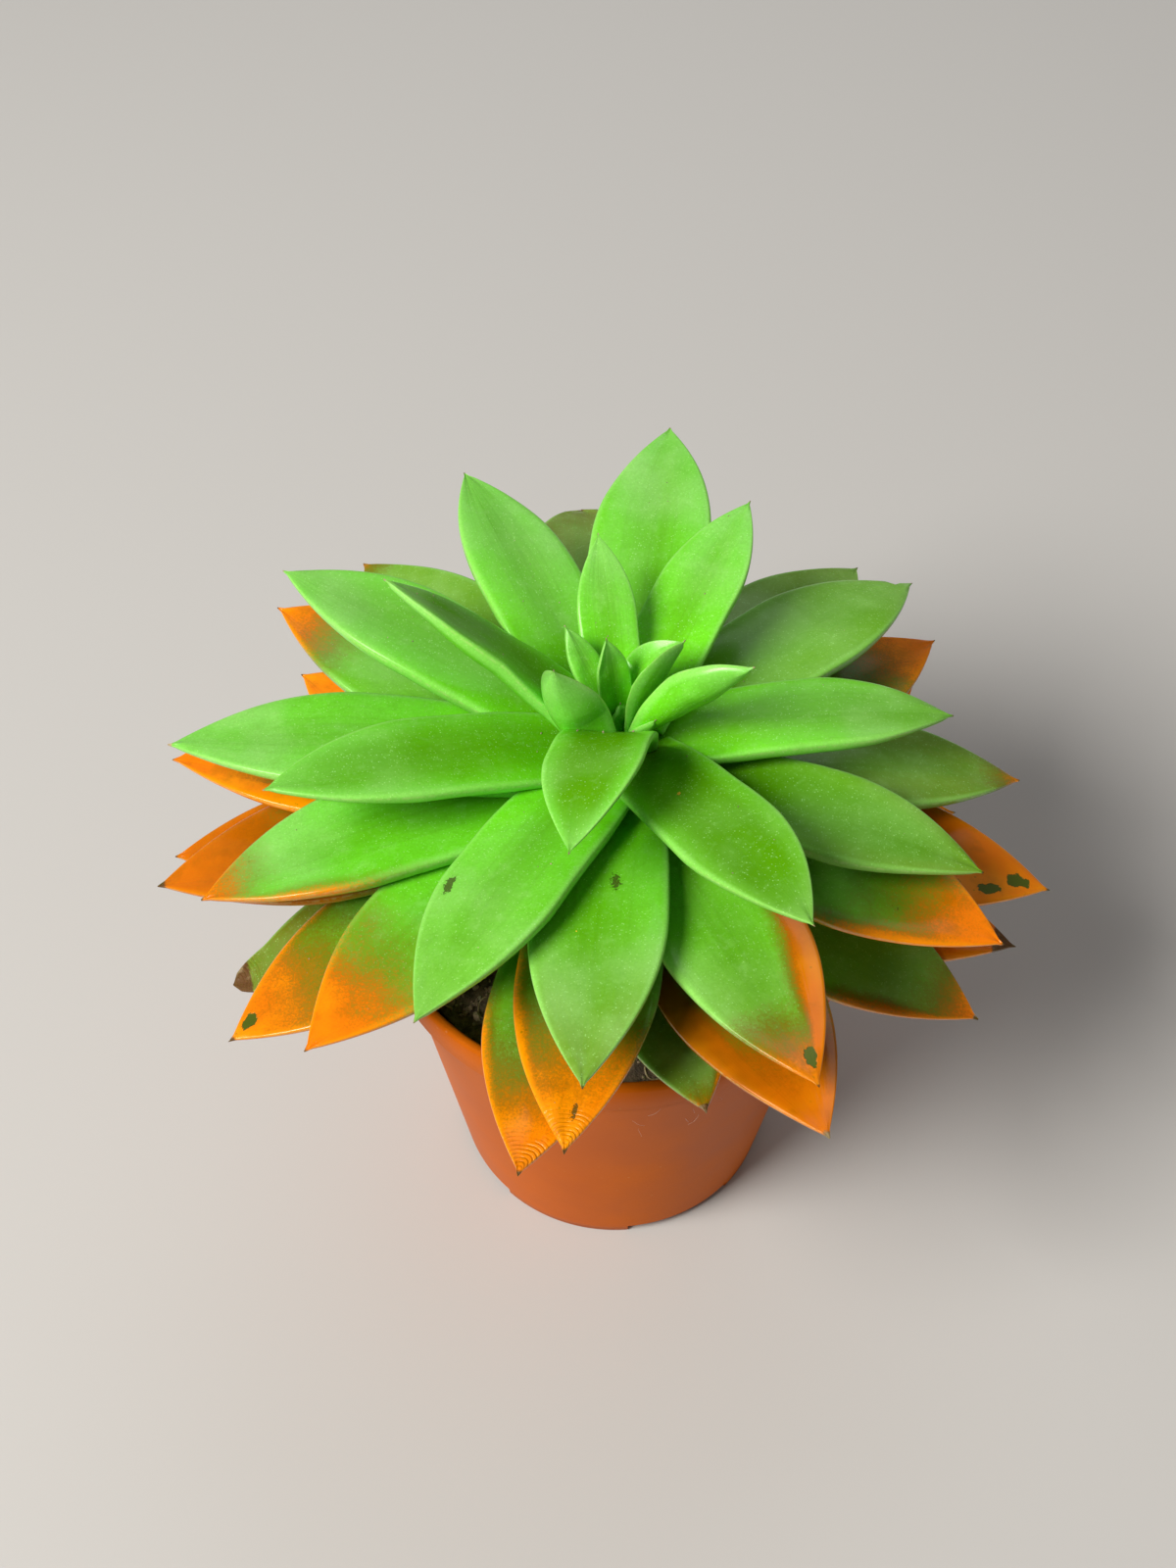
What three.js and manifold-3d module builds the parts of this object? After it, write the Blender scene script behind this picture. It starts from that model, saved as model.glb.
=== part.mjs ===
// Potted succulent: one rosette of fleshy pointed leaves, the lower ones dyed orange, in a round nursery pot.
// Millimetres, +Z up. The origin is the middle of the pot's underside, on the surface that it stands on,
// and -Y is the front.
import * as THREE from 'three';
import { mergeVertices } from 'three/addons/utils/BufferGeometryUtils.js';
import Module from 'manifold-3d';

const wasm = await Module();
wasm.setup();

const GAP = 0.3; // clearance between pieces that touch
const SAME_POINT = 1e-3;

// Pot
const POT_HEIGHT = 82;
const FOOT_RADIUS = 32.5;
const RIM_RADIUS = 46;
const RIM_BAND_HEIGHT = 9.5;
const RIM_BAND_PROUD = 1.9; // how far the band stands out from the wall below it
const WALL = 1.7;
const FLOOR_CORNER = 2; // height of the slope where the wall meets the floor
const FLOOR_CORNER_DEPTH = 1.5;
const BAND_STEP = 0.9; // rise of the slope under the band
const BAND_TAPER = 0.7; // how much narrower the band is at its foot
const BAND_THICKENING = 0.4; // the wall tapers towards the band by this
const RIM_ROUNDING = 0.8;
const RIM_FLAT_INSET = 0.5;
const RIM_EXTRA_WALL = 0.3;
const POT_SIDES = 48;
const FOOT_HEIGHT = 2.6; // how far the drain cut-outs lift the floor
const FLOOR_THICKNESS = 1.8;
const FOOT_WIDTH = 3.4;
const CUTOUTS = 4;
const CUTOUT_SPAN = 42; // degrees
const FIRST_CUTOUT = -64; // degrees, the middle of the one at the front
const CENTRE_FOOT_RADIUS = 9;
const CENTRE_FOOT_OVERLAP = 0.5; // sunk into the floor
const DRAIN_HOLES = 6;
const DRAIN_HOLE_RADIUS = 2.6;
const DRAIN_RING_RADIUS = 20;
const DRAIN_HOLE_SIDES = 12;
const CUTTER_OVERRUN = 1; // how far a cutter runs past what it cuts
const CUTTER_ARC_STEPS = 6;

// Soil and stem
const SOIL_TOP = 74;
const SOIL_CROWN = 5; // how much higher the soil is round the stem
const SOIL_LUMP = 0.7;
const LUMP_WAVES = { // radians a mm
  broadX: 0.55, broadShift: 0.8, broadY: 0.47, slantX: 0.31, slantY: 0.62, slantShift: 2,
};
const SOIL_RINGS = 5;
const SOIL_SIDES = 40;
const SOIL_FLOOR_GAP = 2.3;
const SOIL_FOOT_INSET = 0.2;
const SOIL_HOLE_DEPTH = 2; // how far the stem's hole runs below the stem's lower end
const STEM_RADIUS = 6.4;
const STEM_ROOT_END = 38; // height of the stem's lower end, deep in the soil
const STEM_HOLE_SLACK = 0.5;
const STEM_SIDES = 16;
const STEM_POINT = 0.5; // radius of its lower end, of the full radius
const STEM_POINT_HEIGHT = 8;
const STEM_TAPER = 14; // length over which it narrows to the growing point
const STEM_TAPER_POWER = 0.6;
const STEM_RINGS = [86, 100, 112, 118, 122, 124]; // heights
const STEM_TOP_DROP = 2; // how far the stem stops short of the growing point
const STEM_TAPER_DROP = 1; // where its taper would run out, below the growing point

// Rosette
const GROWING_POINT = 128; // height of the youngest leaf's root
const FULL_LENGTH = 75;
const YOUNG_WIDTH = 0.315; // of the length
const OLD_WIDTH = 0.345;
const FULL_THICKNESS = 6.4;
const WIDEST_AT = 0.56; // part of the way from root to tip
const YOUNG_ROOT_WIDTH = 0.86; // of the leaf's full width
const OLD_ROOT_WIDTH = 0.5;
const CUP = 0.12; // rise of the margins over the middle, of the half width
const TOP_FULLNESS = 0.58; // of the half thickness
const KEEL_FULLNESS = 1.3;
const MARGIN_BLUNTNESS = 0.8; // 1 is an ellipse, and less is blunter
const NECK_THICKNESS = 0.6; // of the full thickness, up to full at NECK_END
const NECK_END = 0.3;
const TIP_THICKNESS = 0.12;
const TIP_TAPER = 0.4; // part of the length that thins towards the tip
const TIP_TAPER_POWER = 0.8;
const LEAF_SIDES = 8;
const LEAF_ROWS = 12;

// How the leaves change with age, which is counted in leaves from the heart, 0 being the youngest
const ROOT_STEP = 0.42; // mm down the stem from one root to the next
const ROOT_STEP_GROWTH = 0.0105;
const HEART_CORE = 0.15; // the youngest root's distance from the axis, of the stem's radius
const STEM_REACHED = 16; // ages over which the roots come out to the stem's full radius
const HEART_RISE = 78; // degrees
const RISE_FADE = 10; // ages
const OLD_SINK = 0.2; // degrees an age
const MOST_DROOP = 20; // degrees
const MOST_DROOP_AGE = 14;
const FIRST_GROWTH = 3; // ages
const GROWTH_AGES = 9;
const GROWTH_POWER = 1.3;
const WIDENING_AGES = [12, 24];
const ROOT_NARROWING_AGES = [6, 22];
const YOUNG_THICKNESS = 0.35; // of the full thickness
const THICKENING_AGES = 20;

// Colours
const DYED_FROM = 20; // age of the first dyed leaf
const DYE_AGES = 20;
const LEAF_GREEN = 0x6fbf3a;
const LEAF_ORANGE = 0xe07a1c;
const POT_TERRACOTTA = 0xb5622f;
const SOIL_BLACK = 0x2b2019;
const STEM_BROWN = 0x8d7a4f;

// One row a leaf, from the heart outwards and down. turn is its direction in degrees (-90 is the front).
// lift, bend and stretch are what it rises, droops and measures beyond the rules below, in degrees and mm,
// twist is its tilt to one side, and broad is its width as a part of the usual. The heart's leaves are hollowed
// more, by cup, and one has its root further out from the axis and further down.
const LEAVES = [
  { turn: 122, lift: 0, stretch: 2, broad: 1.12, cup: 0.3 },
  { turn: -146, lift: -13, stretch: 7, bend: -34, twist: 30, broad: 1.28, cup: 0.7, out: 3.4, down: 4.5 },
  { turn: 130, lift: -14, stretch: -9 },
  { turn: 32, lift: 25, stretch: -14, bend: 46, twist: -32, broad: 1.5, cup: 0.84 },
  { turn: -12, lift: 7, stretch: -9, bend: 10, twist: -74, broad: 0.94, cup: 0.39 },
  { turn: -102, lift: 20, stretch: 3, bend: 67, twist: 14, broad: 1.15 },
  { turn: 97, lift: 0, stretch: -14 },
  { turn: 166, lift: 9, stretch: -4, twist: 30 },
  { turn: 62, lift: -9, stretch: -5, twist: -8 },
  { turn: -61, lift: -2, stretch: 1 },
  { turn: -161, lift: -5, stretch: -1, twist: 4 },
  { turn: 5, lift: -8, stretch: -8, bend: 8, twist: -6 },
  { turn: -117, lift: -2, stretch: 2, twist: 12 },
  { turn: 154, lift: 5, stretch: -3, twist: 5 },
  { turn: 116, lift: 4, stretch: -6, twist: 10 },
  { turn: 82, lift: 3, stretch: 2, twist: -6 },
  { turn: 40, lift: -7, stretch: -1, twist: -5 },
  { turn: -95, lift: 9, stretch: -2, twist: 5 },
  { turn: -23, lift: 3, stretch: -11, twist: -5 },
  { turn: -178, lift: 9, stretch: 1, twist: 10 },
  { turn: -158, lift: 3, stretch: -2, twist: 8 },
  { turn: 5, lift: -5, stretch: -4, twist: -8 },
  { turn: -67, lift: 14, stretch: -2 },
  { turn: -132, lift: 6, stretch: -3 },
  { turn: 51, lift: 1, stretch: -3 },
  { turn: -97, lift: 9, stretch: -4, twist: 4 },
  { turn: -28, lift: 8, stretch: -7, twist: 5 },
  { turn: 151, lift: 17, stretch: -7 },
  { turn: 177, lift: 12, stretch: 0 },
  { turn: 129, lift: 6, stretch: 0, twist: -6 },
  { turn: -169, lift: 6, stretch: 3, twist: 4 },
  { turn: -11, lift: 5, stretch: -2 },
  { turn: -148, lift: 1, stretch: 0, twist: 4 },
  { turn: 36, lift: 7, stretch: -3, twist: -4 },
  { turn: -67, lift: 22, stretch: 2 },
  { turn: 95, lift: 26, stretch: 1, bend: 30 },
  { turn: -102, lift: 19, stretch: -1, twist: 4 },
  { turn: 65, lift: 1, stretch: -1 },
  { turn: -178, lift: 8, stretch: 1 },
  { turn: -28, lift: 3, stretch: -8, twist: 6 },
  { turn: -163, lift: -2, stretch: -5 },
  { turn: 143, lift: 6, stretch: -1 },
  { turn: -78, lift: 25, stretch: -14, twist: 6 },
  { turn: 12, lift: 6, stretch: -14 },
  { turn: -14, lift: 9, stretch: -6 },
  { turn: 105, lift: 8 },
  { turn: 40, lift: 11 },
];

// Rules by age
const { smoothstep, lerp } = THREE.MathUtils;
const rootHeight = (age) => GROWING_POINT - ROOT_STEP * age - ROOT_STEP_GROWTH * age ** 2;
const rootRadius = (age) => STEM_RADIUS * Math.min(1, HEART_CORE + age / STEM_REACHED);
const fullRise = (age) => HEART_RISE * Math.exp(-age / RISE_FADE) - OLD_SINK * age;
const droop = (age) => MOST_DROOP * (age / MOST_DROOP_AGE) * Math.exp(1 - age / MOST_DROOP_AGE);
const fullLength = (age) => FULL_LENGTH * (1 - Math.exp(-(((age + FIRST_GROWTH) / GROWTH_AGES) ** GROWTH_POWER)));
const widthPerLength = (age) => lerp(YOUNG_WIDTH, OLD_WIDTH, smoothstep(age, ...WIDENING_AGES));
const rootWidth = (age) => lerp(YOUNG_ROOT_WIDTH, OLD_ROOT_WIDTH, smoothstep(age, ...ROOT_NARROWING_AGES));
const thickness = (age) => FULL_THICKNESS * Math.min(1, YOUNG_THICKNESS + age / THICKENING_AGES);

const degrees = THREE.MathUtils.degToRad;
const finish = (color, roughness) => new THREE.MeshStandardMaterial({ color, roughness, metalness: 0 });

// The solid of a closed geometry, to cut or join
function solid(geometry) {
  const bare = new THREE.BufferGeometry();
  bare.setIndex(geometry.index);
  bare.setAttribute('position', geometry.getAttribute('position'));
  const merged = mergeVertices(bare, SAME_POINT);
  return new wasm.Manifold(new wasm.Mesh({
    numProp: 3,
    vertProperties: merged.attributes.position.array,
    triVerts: new Uint32Array(merged.index.array),
  }));
}

function geometryOf(body) {
  const mesh = body.getMesh();
  const geometry = new THREE.BufferGeometry();
  geometry.setAttribute('position', new THREE.BufferAttribute(new Float32Array(mesh.vertProperties), 3));
  geometry.setIndex(new THREE.BufferAttribute(new Uint32Array(mesh.triVerts), 1));
  return geometry;
}

// A profile of [radius, height] points turned round the upright axis
function turned(profile, sides) {
  const lathe = new THREE.LatheGeometry(profile.map(([r, z]) => new THREE.Vector2(r, z)), sides);
  return lathe.rotateX(Math.PI / 2);
}

// An upright cylinder standing on the height bottom
function post(radius, height, bottom, sides) {
  return new THREE.CylinderGeometry(radius, radius, height, sides)
    .rotateX(Math.PI / 2)
    .translate(0, 0, bottom + height / 2);
}

// A wedge of a flat ring between two radii, centred on the direction turn
function ringWedge(inner, outer, turn, span, bottom, height) {
  const half = degrees(span / 2);
  const outline = new THREE.Shape();
  outline.absarc(0, 0, outer, -half, half, false);
  outline.absarc(0, 0, inner, half, -half, true);
  return new THREE.ExtrudeGeometry(outline, { depth: height, bevelEnabled: false, curveSegments: CUTTER_ARC_STEPS })
    .rotateZ(degrees(turn))
    .translate(0, 0, bottom);
}

const wallRadius = (z) => {
  const top = RIM_RADIUS - RIM_BAND_PROUD;
  return FOOT_RADIUS + (top - FOOT_RADIUS) * (z / POT_HEIGHT);
};
const floorTop = FOOT_HEIGHT + FLOOR_THICKNESS;

function potGeometry() {
  const bandBottom = POT_HEIGHT - RIM_BAND_HEIGHT;
  const profile = [
    [0, FOOT_HEIGHT],
    [FOOT_RADIUS - FOOT_WIDTH, FOOT_HEIGHT],
    [FOOT_RADIUS - FOOT_WIDTH, 0],
    [FOOT_RADIUS, 0],
    [wallRadius(bandBottom), bandBottom],
    [RIM_RADIUS - BAND_TAPER, bandBottom + BAND_STEP],
    [RIM_RADIUS, POT_HEIGHT - RIM_ROUNDING],
    [RIM_RADIUS - RIM_FLAT_INSET, POT_HEIGHT],
    [RIM_RADIUS - WALL - RIM_EXTRA_WALL, POT_HEIGHT],
    [wallRadius(bandBottom) - WALL + BAND_THICKENING, bandBottom],
    [wallRadius(floorTop + FLOOR_CORNER) - WALL, floorTop + FLOOR_CORNER],
    [wallRadius(floorTop) - WALL - FLOOR_CORNER_DEPTH, floorTop],
    [0, floorTop],
  ];
  let pot = solid(turned(profile, POT_SIDES));
  pot = pot.add(solid(post(CENTRE_FOOT_RADIUS, FOOT_HEIGHT + CENTRE_FOOT_OVERLAP, 0, POT_SIDES / 2)));
  for (let i = 0; i < CUTOUTS; i++) {
    const turn = FIRST_CUTOUT + i * 360 / CUTOUTS;
    const inner = FOOT_RADIUS - FOOT_WIDTH - CUTTER_OVERRUN;
    const outer = FOOT_RADIUS + 2 * CUTTER_OVERRUN;
    const tall = FOOT_HEIGHT + CUTTER_OVERRUN;
    pot = pot.subtract(solid(ringWedge(inner, outer, turn, CUTOUT_SPAN, -CUTTER_OVERRUN, tall)));
  }
  for (let i = 0; i < DRAIN_HOLES; i++) {
    const turn = degrees(i * 360 / DRAIN_HOLES);
    const tall = FLOOR_THICKNESS + 2 * CUTTER_OVERRUN;
    const hole = post(DRAIN_HOLE_RADIUS, tall, FOOT_HEIGHT - CUTTER_OVERRUN, DRAIN_HOLE_SIDES)
      .translate(DRAIN_RING_RADIUS * Math.cos(turn), DRAIN_RING_RADIUS * Math.sin(turn), 0);
    pot = pot.subtract(solid(hole));
  }
  return geometryOf(pot);
}

// The soil's surface, a low mound with small lumps that fade out at the pot's wall
const soilSurface = (x, y, edge) => {
  const out = Math.hypot(x, y) / edge;
  const { broadX, broadShift, broadY, slantX, slantY, slantShift } = LUMP_WAVES;
  const broad = Math.sin(broadX * x + broadShift) * Math.cos(broadY * y);
  const lumps = broad + Math.sin(slantX * x - slantY * y + slantShift);
  return SOIL_TOP + SOIL_CROWN * (1 - out ** 2) + SOIL_LUMP * lumps * (1 - out ** 4);
};

function soilGeometry() {
  const edge = wallRadius(SOIL_TOP) - WALL - GAP;
  const hole = STEM_RADIUS + STEM_HOLE_SLACK;
  const bottom = floorTop + SOIL_FLOOR_GAP;
  const surface = [];
  for (let i = 0; i <= SOIL_RINGS; i++) {
    surface.push([lerp(edge, hole, i / SOIL_RINGS), SOIL_TOP]);
  }
  const profile = [
    [0, bottom],
    [wallRadius(bottom) - WALL - GAP - SOIL_FOOT_INSET, bottom],
    ...surface,
    [hole, STEM_ROOT_END - SOIL_HOLE_DEPTH],
    [0, STEM_ROOT_END - SOIL_HOLE_DEPTH],
  ];
  const geometry = turned(profile, SOIL_SIDES);
  const place = geometry.getAttribute('position');
  for (let i = 0; i < place.count; i++) {
    if (Math.abs(place.getZ(i) - SOIL_TOP) < SAME_POINT) {
      place.setZ(i, soilSurface(place.getX(i), place.getY(i), edge));
    }
  }
  return geometryOf(solid(geometry));
}

const stemRadiusAt = (z) => {
  const below = (GROWING_POINT - STEM_TAPER_DROP - z) / STEM_TAPER;
  return STEM_RADIUS * Math.min(1, Math.max(0, below)) ** STEM_TAPER_POWER;
};

// The stem narrows inside the rosette, below the leaves' roots. swell grows it all round, to cut the leaves clear.
function stemGeometry(swell = 0) {
  const profile = [
    [0, STEM_ROOT_END - swell],
    [STEM_RADIUS * STEM_POINT + swell, STEM_ROOT_END - swell],
    [STEM_RADIUS + swell, STEM_ROOT_END + STEM_POINT_HEIGHT],
    ...STEM_RINGS.map((z) => [stemRadiusAt(z) + swell, z]),
    [0, GROWING_POINT - STEM_TOP_DROP + swell],
  ];
  return turned(profile, STEM_SIDES);
}

// Half width along the leaf as part of its widest: root at 0, tip at 1
const outline = (along, atRoot) => {
  const past = (along - WIDEST_AT) / (1 - WIDEST_AT);
  const before = (WIDEST_AT - along) / WIDEST_AT;
  return along > WIDEST_AT ? 1 - past ** 2 : 1 - (1 - atRoot) * before ** 2;
};

// Half thickness along the leaf: a stout neck, full in the middle, thin at the tip
const plumpness = (along) => {
  const neck = lerp(NECK_THICKNESS, 1, Math.min(1, along / NECK_END));
  const tip = Math.min(1, (1 - along) / TIP_TAPER) ** TIP_TAPER_POWER;
  return neck * lerp(TIP_THICKNESS, 1, tip);
};

// A ball drawn out into a leaf: its poles become root and tip. swell grows it all round, to cut a neighbour clear.
function leafGeometry(leaf, age, swell = 0) {
  const { turn, lift = 0, stretch = 0, bend = 0, twist = 0, broad = 1, cup = CUP, out: rootOut = 0, down = 0 } = leaf;
  const length = fullLength(age) + stretch;
  const halfWidth = broad * widthPerLength(age) * length / 2;
  const halfThick = thickness(age) / 2;
  const rise = fullRise(age) + lift;
  const steps = LEAF_ROWS - 1;

  const spine = [new THREE.Vector2(rootRadius(age) + rootOut, rootHeight(age) - down)];
  const slopes = [];
  for (let i = 0; i <= steps; i++) {
    slopes.push(degrees(rise - (droop(age) + bend) * i / steps));
    if (i > 0) {
      const slope = (slopes[i] + slopes[i - 1]) / 2;
      const step = new THREE.Vector2(Math.cos(slope), Math.sin(slope)).multiplyScalar(length / steps);
      spine.push(spine[i - 1].clone().add(step));
    }
  }

  const geometry = new THREE.SphereGeometry(1, LEAF_SIDES, LEAF_ROWS);
  const place = geometry.getAttribute('position');
  const uv = geometry.getAttribute('uv');
  const cosTurn = Math.cos(degrees(turn));
  const sinTurn = Math.sin(degrees(turn));
  for (let i = 0; i < place.count; i++) {
    const row = Math.round((1 - uv.getY(i)) * LEAF_ROWS);
    const step = Math.max(0, row - 1);
    const along = step / steps;
    const round = -2 * Math.PI * uv.getX(i);
    const pole = row === 0 || row === LEAF_ROWS;
    const across = pole ? 0 : Math.sign(Math.cos(round)) * Math.abs(Math.cos(round)) ** MARGIN_BLUNTNESS;
    const above = pole ? 0 : Math.sign(Math.sin(round)) * Math.abs(Math.sin(round)) ** MARGIN_BLUNTNESS;
    const wide = halfWidth * outline(along, rootWidth(age)) + swell;
    const thick = halfThick * plumpness(along) * (above > 0 ? TOP_FULLNESS : KEEL_FULLNESS) + swell;
    let side = across * wide;
    let up = above * thick + cup * wide * across ** 2;
    const tilt = degrees(twist) * Math.min(1, 2 * along);
    [side, up] = [side * Math.cos(tilt) - up * Math.sin(tilt), side * Math.sin(tilt) + up * Math.cos(tilt)];
    const ends = row === 0 || row === 1 ? -swell : row === LEAF_ROWS ? swell : 0;
    const out = spine[step].x + ends * Math.cos(slopes[step]) - up * Math.sin(slopes[step]);
    const high = spine[step].y + ends * Math.sin(slopes[step]) + up * Math.cos(slopes[step]);
    place.setXYZ(i, out * cosTurn - side * sinTurn, out * sinTurn + side * cosTurn, high);
  }
  return geometry;
}

// The largest piece of a cut solid, without the loose scraps
const mainPiece = (body) => body.decompose().sort((a, b) => b.volume() - a.volume())[0];

function leafMeshes() {
  const stem = solid(stemGeometry(GAP));
  const swollen = LEAVES.map((leaf, age) => solid(leafGeometry(leaf, age, GAP)));
  return LEAVES.map((leaf, age) => {
    let body = solid(leafGeometry(leaf, age)).subtract(stem);
    for (let younger = 0; younger < age; younger++) {
      body = body.subtract(swollen[younger]);
    }
    const dye = THREE.MathUtils.clamp((age - DYED_FROM) / DYE_AGES, 0, 1);
    const color = new THREE.Color(LEAF_GREEN).lerp(new THREE.Color(LEAF_ORANGE), dye);
    const mesh = new THREE.Mesh(geometryOf(mainPiece(body)), finish(color, 0.5));
    mesh.name = `leaf_${String(LEAVES.length - age).padStart(2, '0')}`;
    return mesh;
  });
}

const plant = new THREE.Group();

const pot = new THREE.Mesh(potGeometry(), finish(POT_TERRACOTTA, 0.45));
pot.name = 'pot';
const soil = new THREE.Mesh(soilGeometry(), finish(SOIL_BLACK, 0.95));
soil.name = 'soil';
const stem = new THREE.Mesh(stemGeometry(), finish(STEM_BROWN, 0.8));
stem.name = 'stem';
plant.add(pot, soil, stem, ...leafMeshes());

export default plant;
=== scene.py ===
import math
import random

import bmesh
import bpy
from mathutils import Euler, Matrix, Vector, noise


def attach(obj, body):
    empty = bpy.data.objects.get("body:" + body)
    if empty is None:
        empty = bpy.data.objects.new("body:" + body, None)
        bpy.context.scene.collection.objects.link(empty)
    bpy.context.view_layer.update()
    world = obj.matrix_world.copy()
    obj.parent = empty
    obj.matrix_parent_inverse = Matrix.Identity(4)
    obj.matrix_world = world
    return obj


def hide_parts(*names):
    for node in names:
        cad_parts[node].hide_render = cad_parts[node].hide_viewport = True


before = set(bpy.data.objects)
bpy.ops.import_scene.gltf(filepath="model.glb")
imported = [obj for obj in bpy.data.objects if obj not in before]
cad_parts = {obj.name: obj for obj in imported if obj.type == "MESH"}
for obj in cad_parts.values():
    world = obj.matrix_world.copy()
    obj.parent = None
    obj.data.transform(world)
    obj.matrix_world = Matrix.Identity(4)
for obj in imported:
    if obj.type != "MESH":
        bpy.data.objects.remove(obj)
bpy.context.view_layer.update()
mm = 0.001


def makePiece(name, bm, material, nodes=()):
    mesh = bpy.data.meshes.new(name)
    bm.to_mesh(mesh)
    bm.free()
    mesh.materials.append(material)
    piece = bpy.data.objects.new(name, mesh)
    bpy.context.scene.collection.objects.link(piece)
    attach(piece, "root")
    if nodes:
        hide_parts(*nodes)
    return piece


def smoothFaces(bm, sharpAngle=math.radians(40)):
    # smooth all over, with the real edges kept crisp
    for face in bm.faces:
        face.smooth = True
    for edge in bm.edges:
        edge.smooth = len(edge.link_faces) != 2 or edge.calc_face_angle(0) < sharpAngle


def clamp(value, low=0.0, high=1.0):
    return max(low, min(high, value))


def ease(value, low, high):
    part = clamp((value - low) / (high - low))
    return part * part * (3 - 2 * part)


def blend(first, second, part):
    return first + (second - first) * part


def startMaterial(name):
    material = bpy.data.materials.new(name)
    material.use_nodes = True
    tree = material.node_tree
    return material, tree, tree.nodes["Principled BSDF"]


def feed(tree, socket, value):
    if isinstance(value, bpy.types.NodeSocket):
        tree.links.new(value, socket)
    elif isinstance(value, tuple) and len(value) == 3 and socket.type == "RGBA":
        socket.default_value = (*value, 1)
    else:
        socket.default_value = value


def mixed(tree, share, under, over):
    # sockets 0, 6 and 7 take the share and the two colours, and output 2 gives their mix
    mix = tree.nodes.new("ShaderNodeMix")
    mix.data_type = "RGBA"
    feed(tree, mix.inputs[0], share)
    feed(tree, mix.inputs[6], under)
    feed(tree, mix.inputs[7], over)
    return mix.outputs[2]


def worked(tree, operation, first, second=0.0):
    calc = tree.nodes.new("ShaderNodeMath")
    calc.operation = operation
    feed(tree, calc.inputs[0], first)
    feed(tree, calc.inputs[1], second)
    return calc.outputs[0]


def plus(tree, first, second):
    return worked(tree, "ADD", first, second)


def times(tree, first, second):
    return worked(tree, "MULTIPLY", first, second)


def swing(tree, cloud, reach):
    # a cloud's 0 to 1 as a swing round 0, reach from end to end
    return times(tree, worked(tree, "SUBTRACT", cloud, 0.5), reach)


def ranged(tree, value, low, high, toLow=0.0, toHigh=1.0):
    spread = tree.nodes.new("ShaderNodeMapRange")
    spread.interpolation_type = "SMOOTHSTEP"
    feed(tree, spread.inputs["Value"], value)
    spread.inputs["From Min"].default_value = low
    spread.inputs["From Max"].default_value = high
    spread.inputs["To Min"].default_value = toLow
    spread.inputs["To Max"].default_value = toHigh
    return spread.outputs["Result"]


def layered(tree, colour, sources, look, layers):
    # lays colours over one another, each with a share that follows one of the sources
    for source, low, high, toLow, toHigh, tint in look[layers]:
        share = ranged(tree, sources[source], low, high, toLow, toHigh)
        colour = mixed(tree, share, colour, look[tint])
    return colour


def raised(tree, relief, sources, heights):
    for source, height in heights.items():
        relief = plus(tree, relief, times(tree, sources[source], height))
    return relief


def cloudy(tree, place, scale, detail, rough):
    cloud = tree.nodes.new("ShaderNodeTexNoise")
    feed(tree, cloud.inputs["Vector"], place)
    cloud.inputs["Scale"].default_value = scale
    cloud.inputs["Detail"].default_value = detail
    cloud.inputs["Roughness"].default_value = rough
    return cloud.outputs["Fac"]


dotCore = 0.4  # the part of a dot's radius that is full


def dotted(tree, place, scale, size):
    # 1 in the middle of small scattered dots, 0 between them
    cells = tree.nodes.new("ShaderNodeTexVoronoi")
    feed(tree, cells.inputs["Vector"], place)
    cells.inputs["Scale"].default_value = scale
    return ranged(tree, cells.outputs["Distance"], size, size * dotCore)


def stretched(tree, place, scale):
    mapping = tree.nodes.new("ShaderNodeMapping")
    feed(tree, mapping.inputs["Vector"], place)
    mapping.inputs["Scale"].default_value = scale
    return mapping.outputs["Vector"]


def attribute(tree, name):
    reader = tree.nodes.new("ShaderNodeAttribute")
    reader.attribute_name = name
    return reader.outputs["Fac"]


def bumped(tree, shader, height, distance, strength):
    bump = tree.nodes.new("ShaderNodeBump")
    bump.inputs["Strength"].default_value = strength
    bump.inputs["Distance"].default_value = distance
    feed(tree, bump.inputs["Height"], height)
    feed(tree, shader.inputs["Normal"], bump.outputs["Normal"])


def setSockets(shader, values):
    for socket, value in values.items():
        shader.inputs[socket].default_value = value


def objectPlace(tree):
    return tree.nodes.new("ShaderNodeTexCoord").outputs["Object"]


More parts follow.
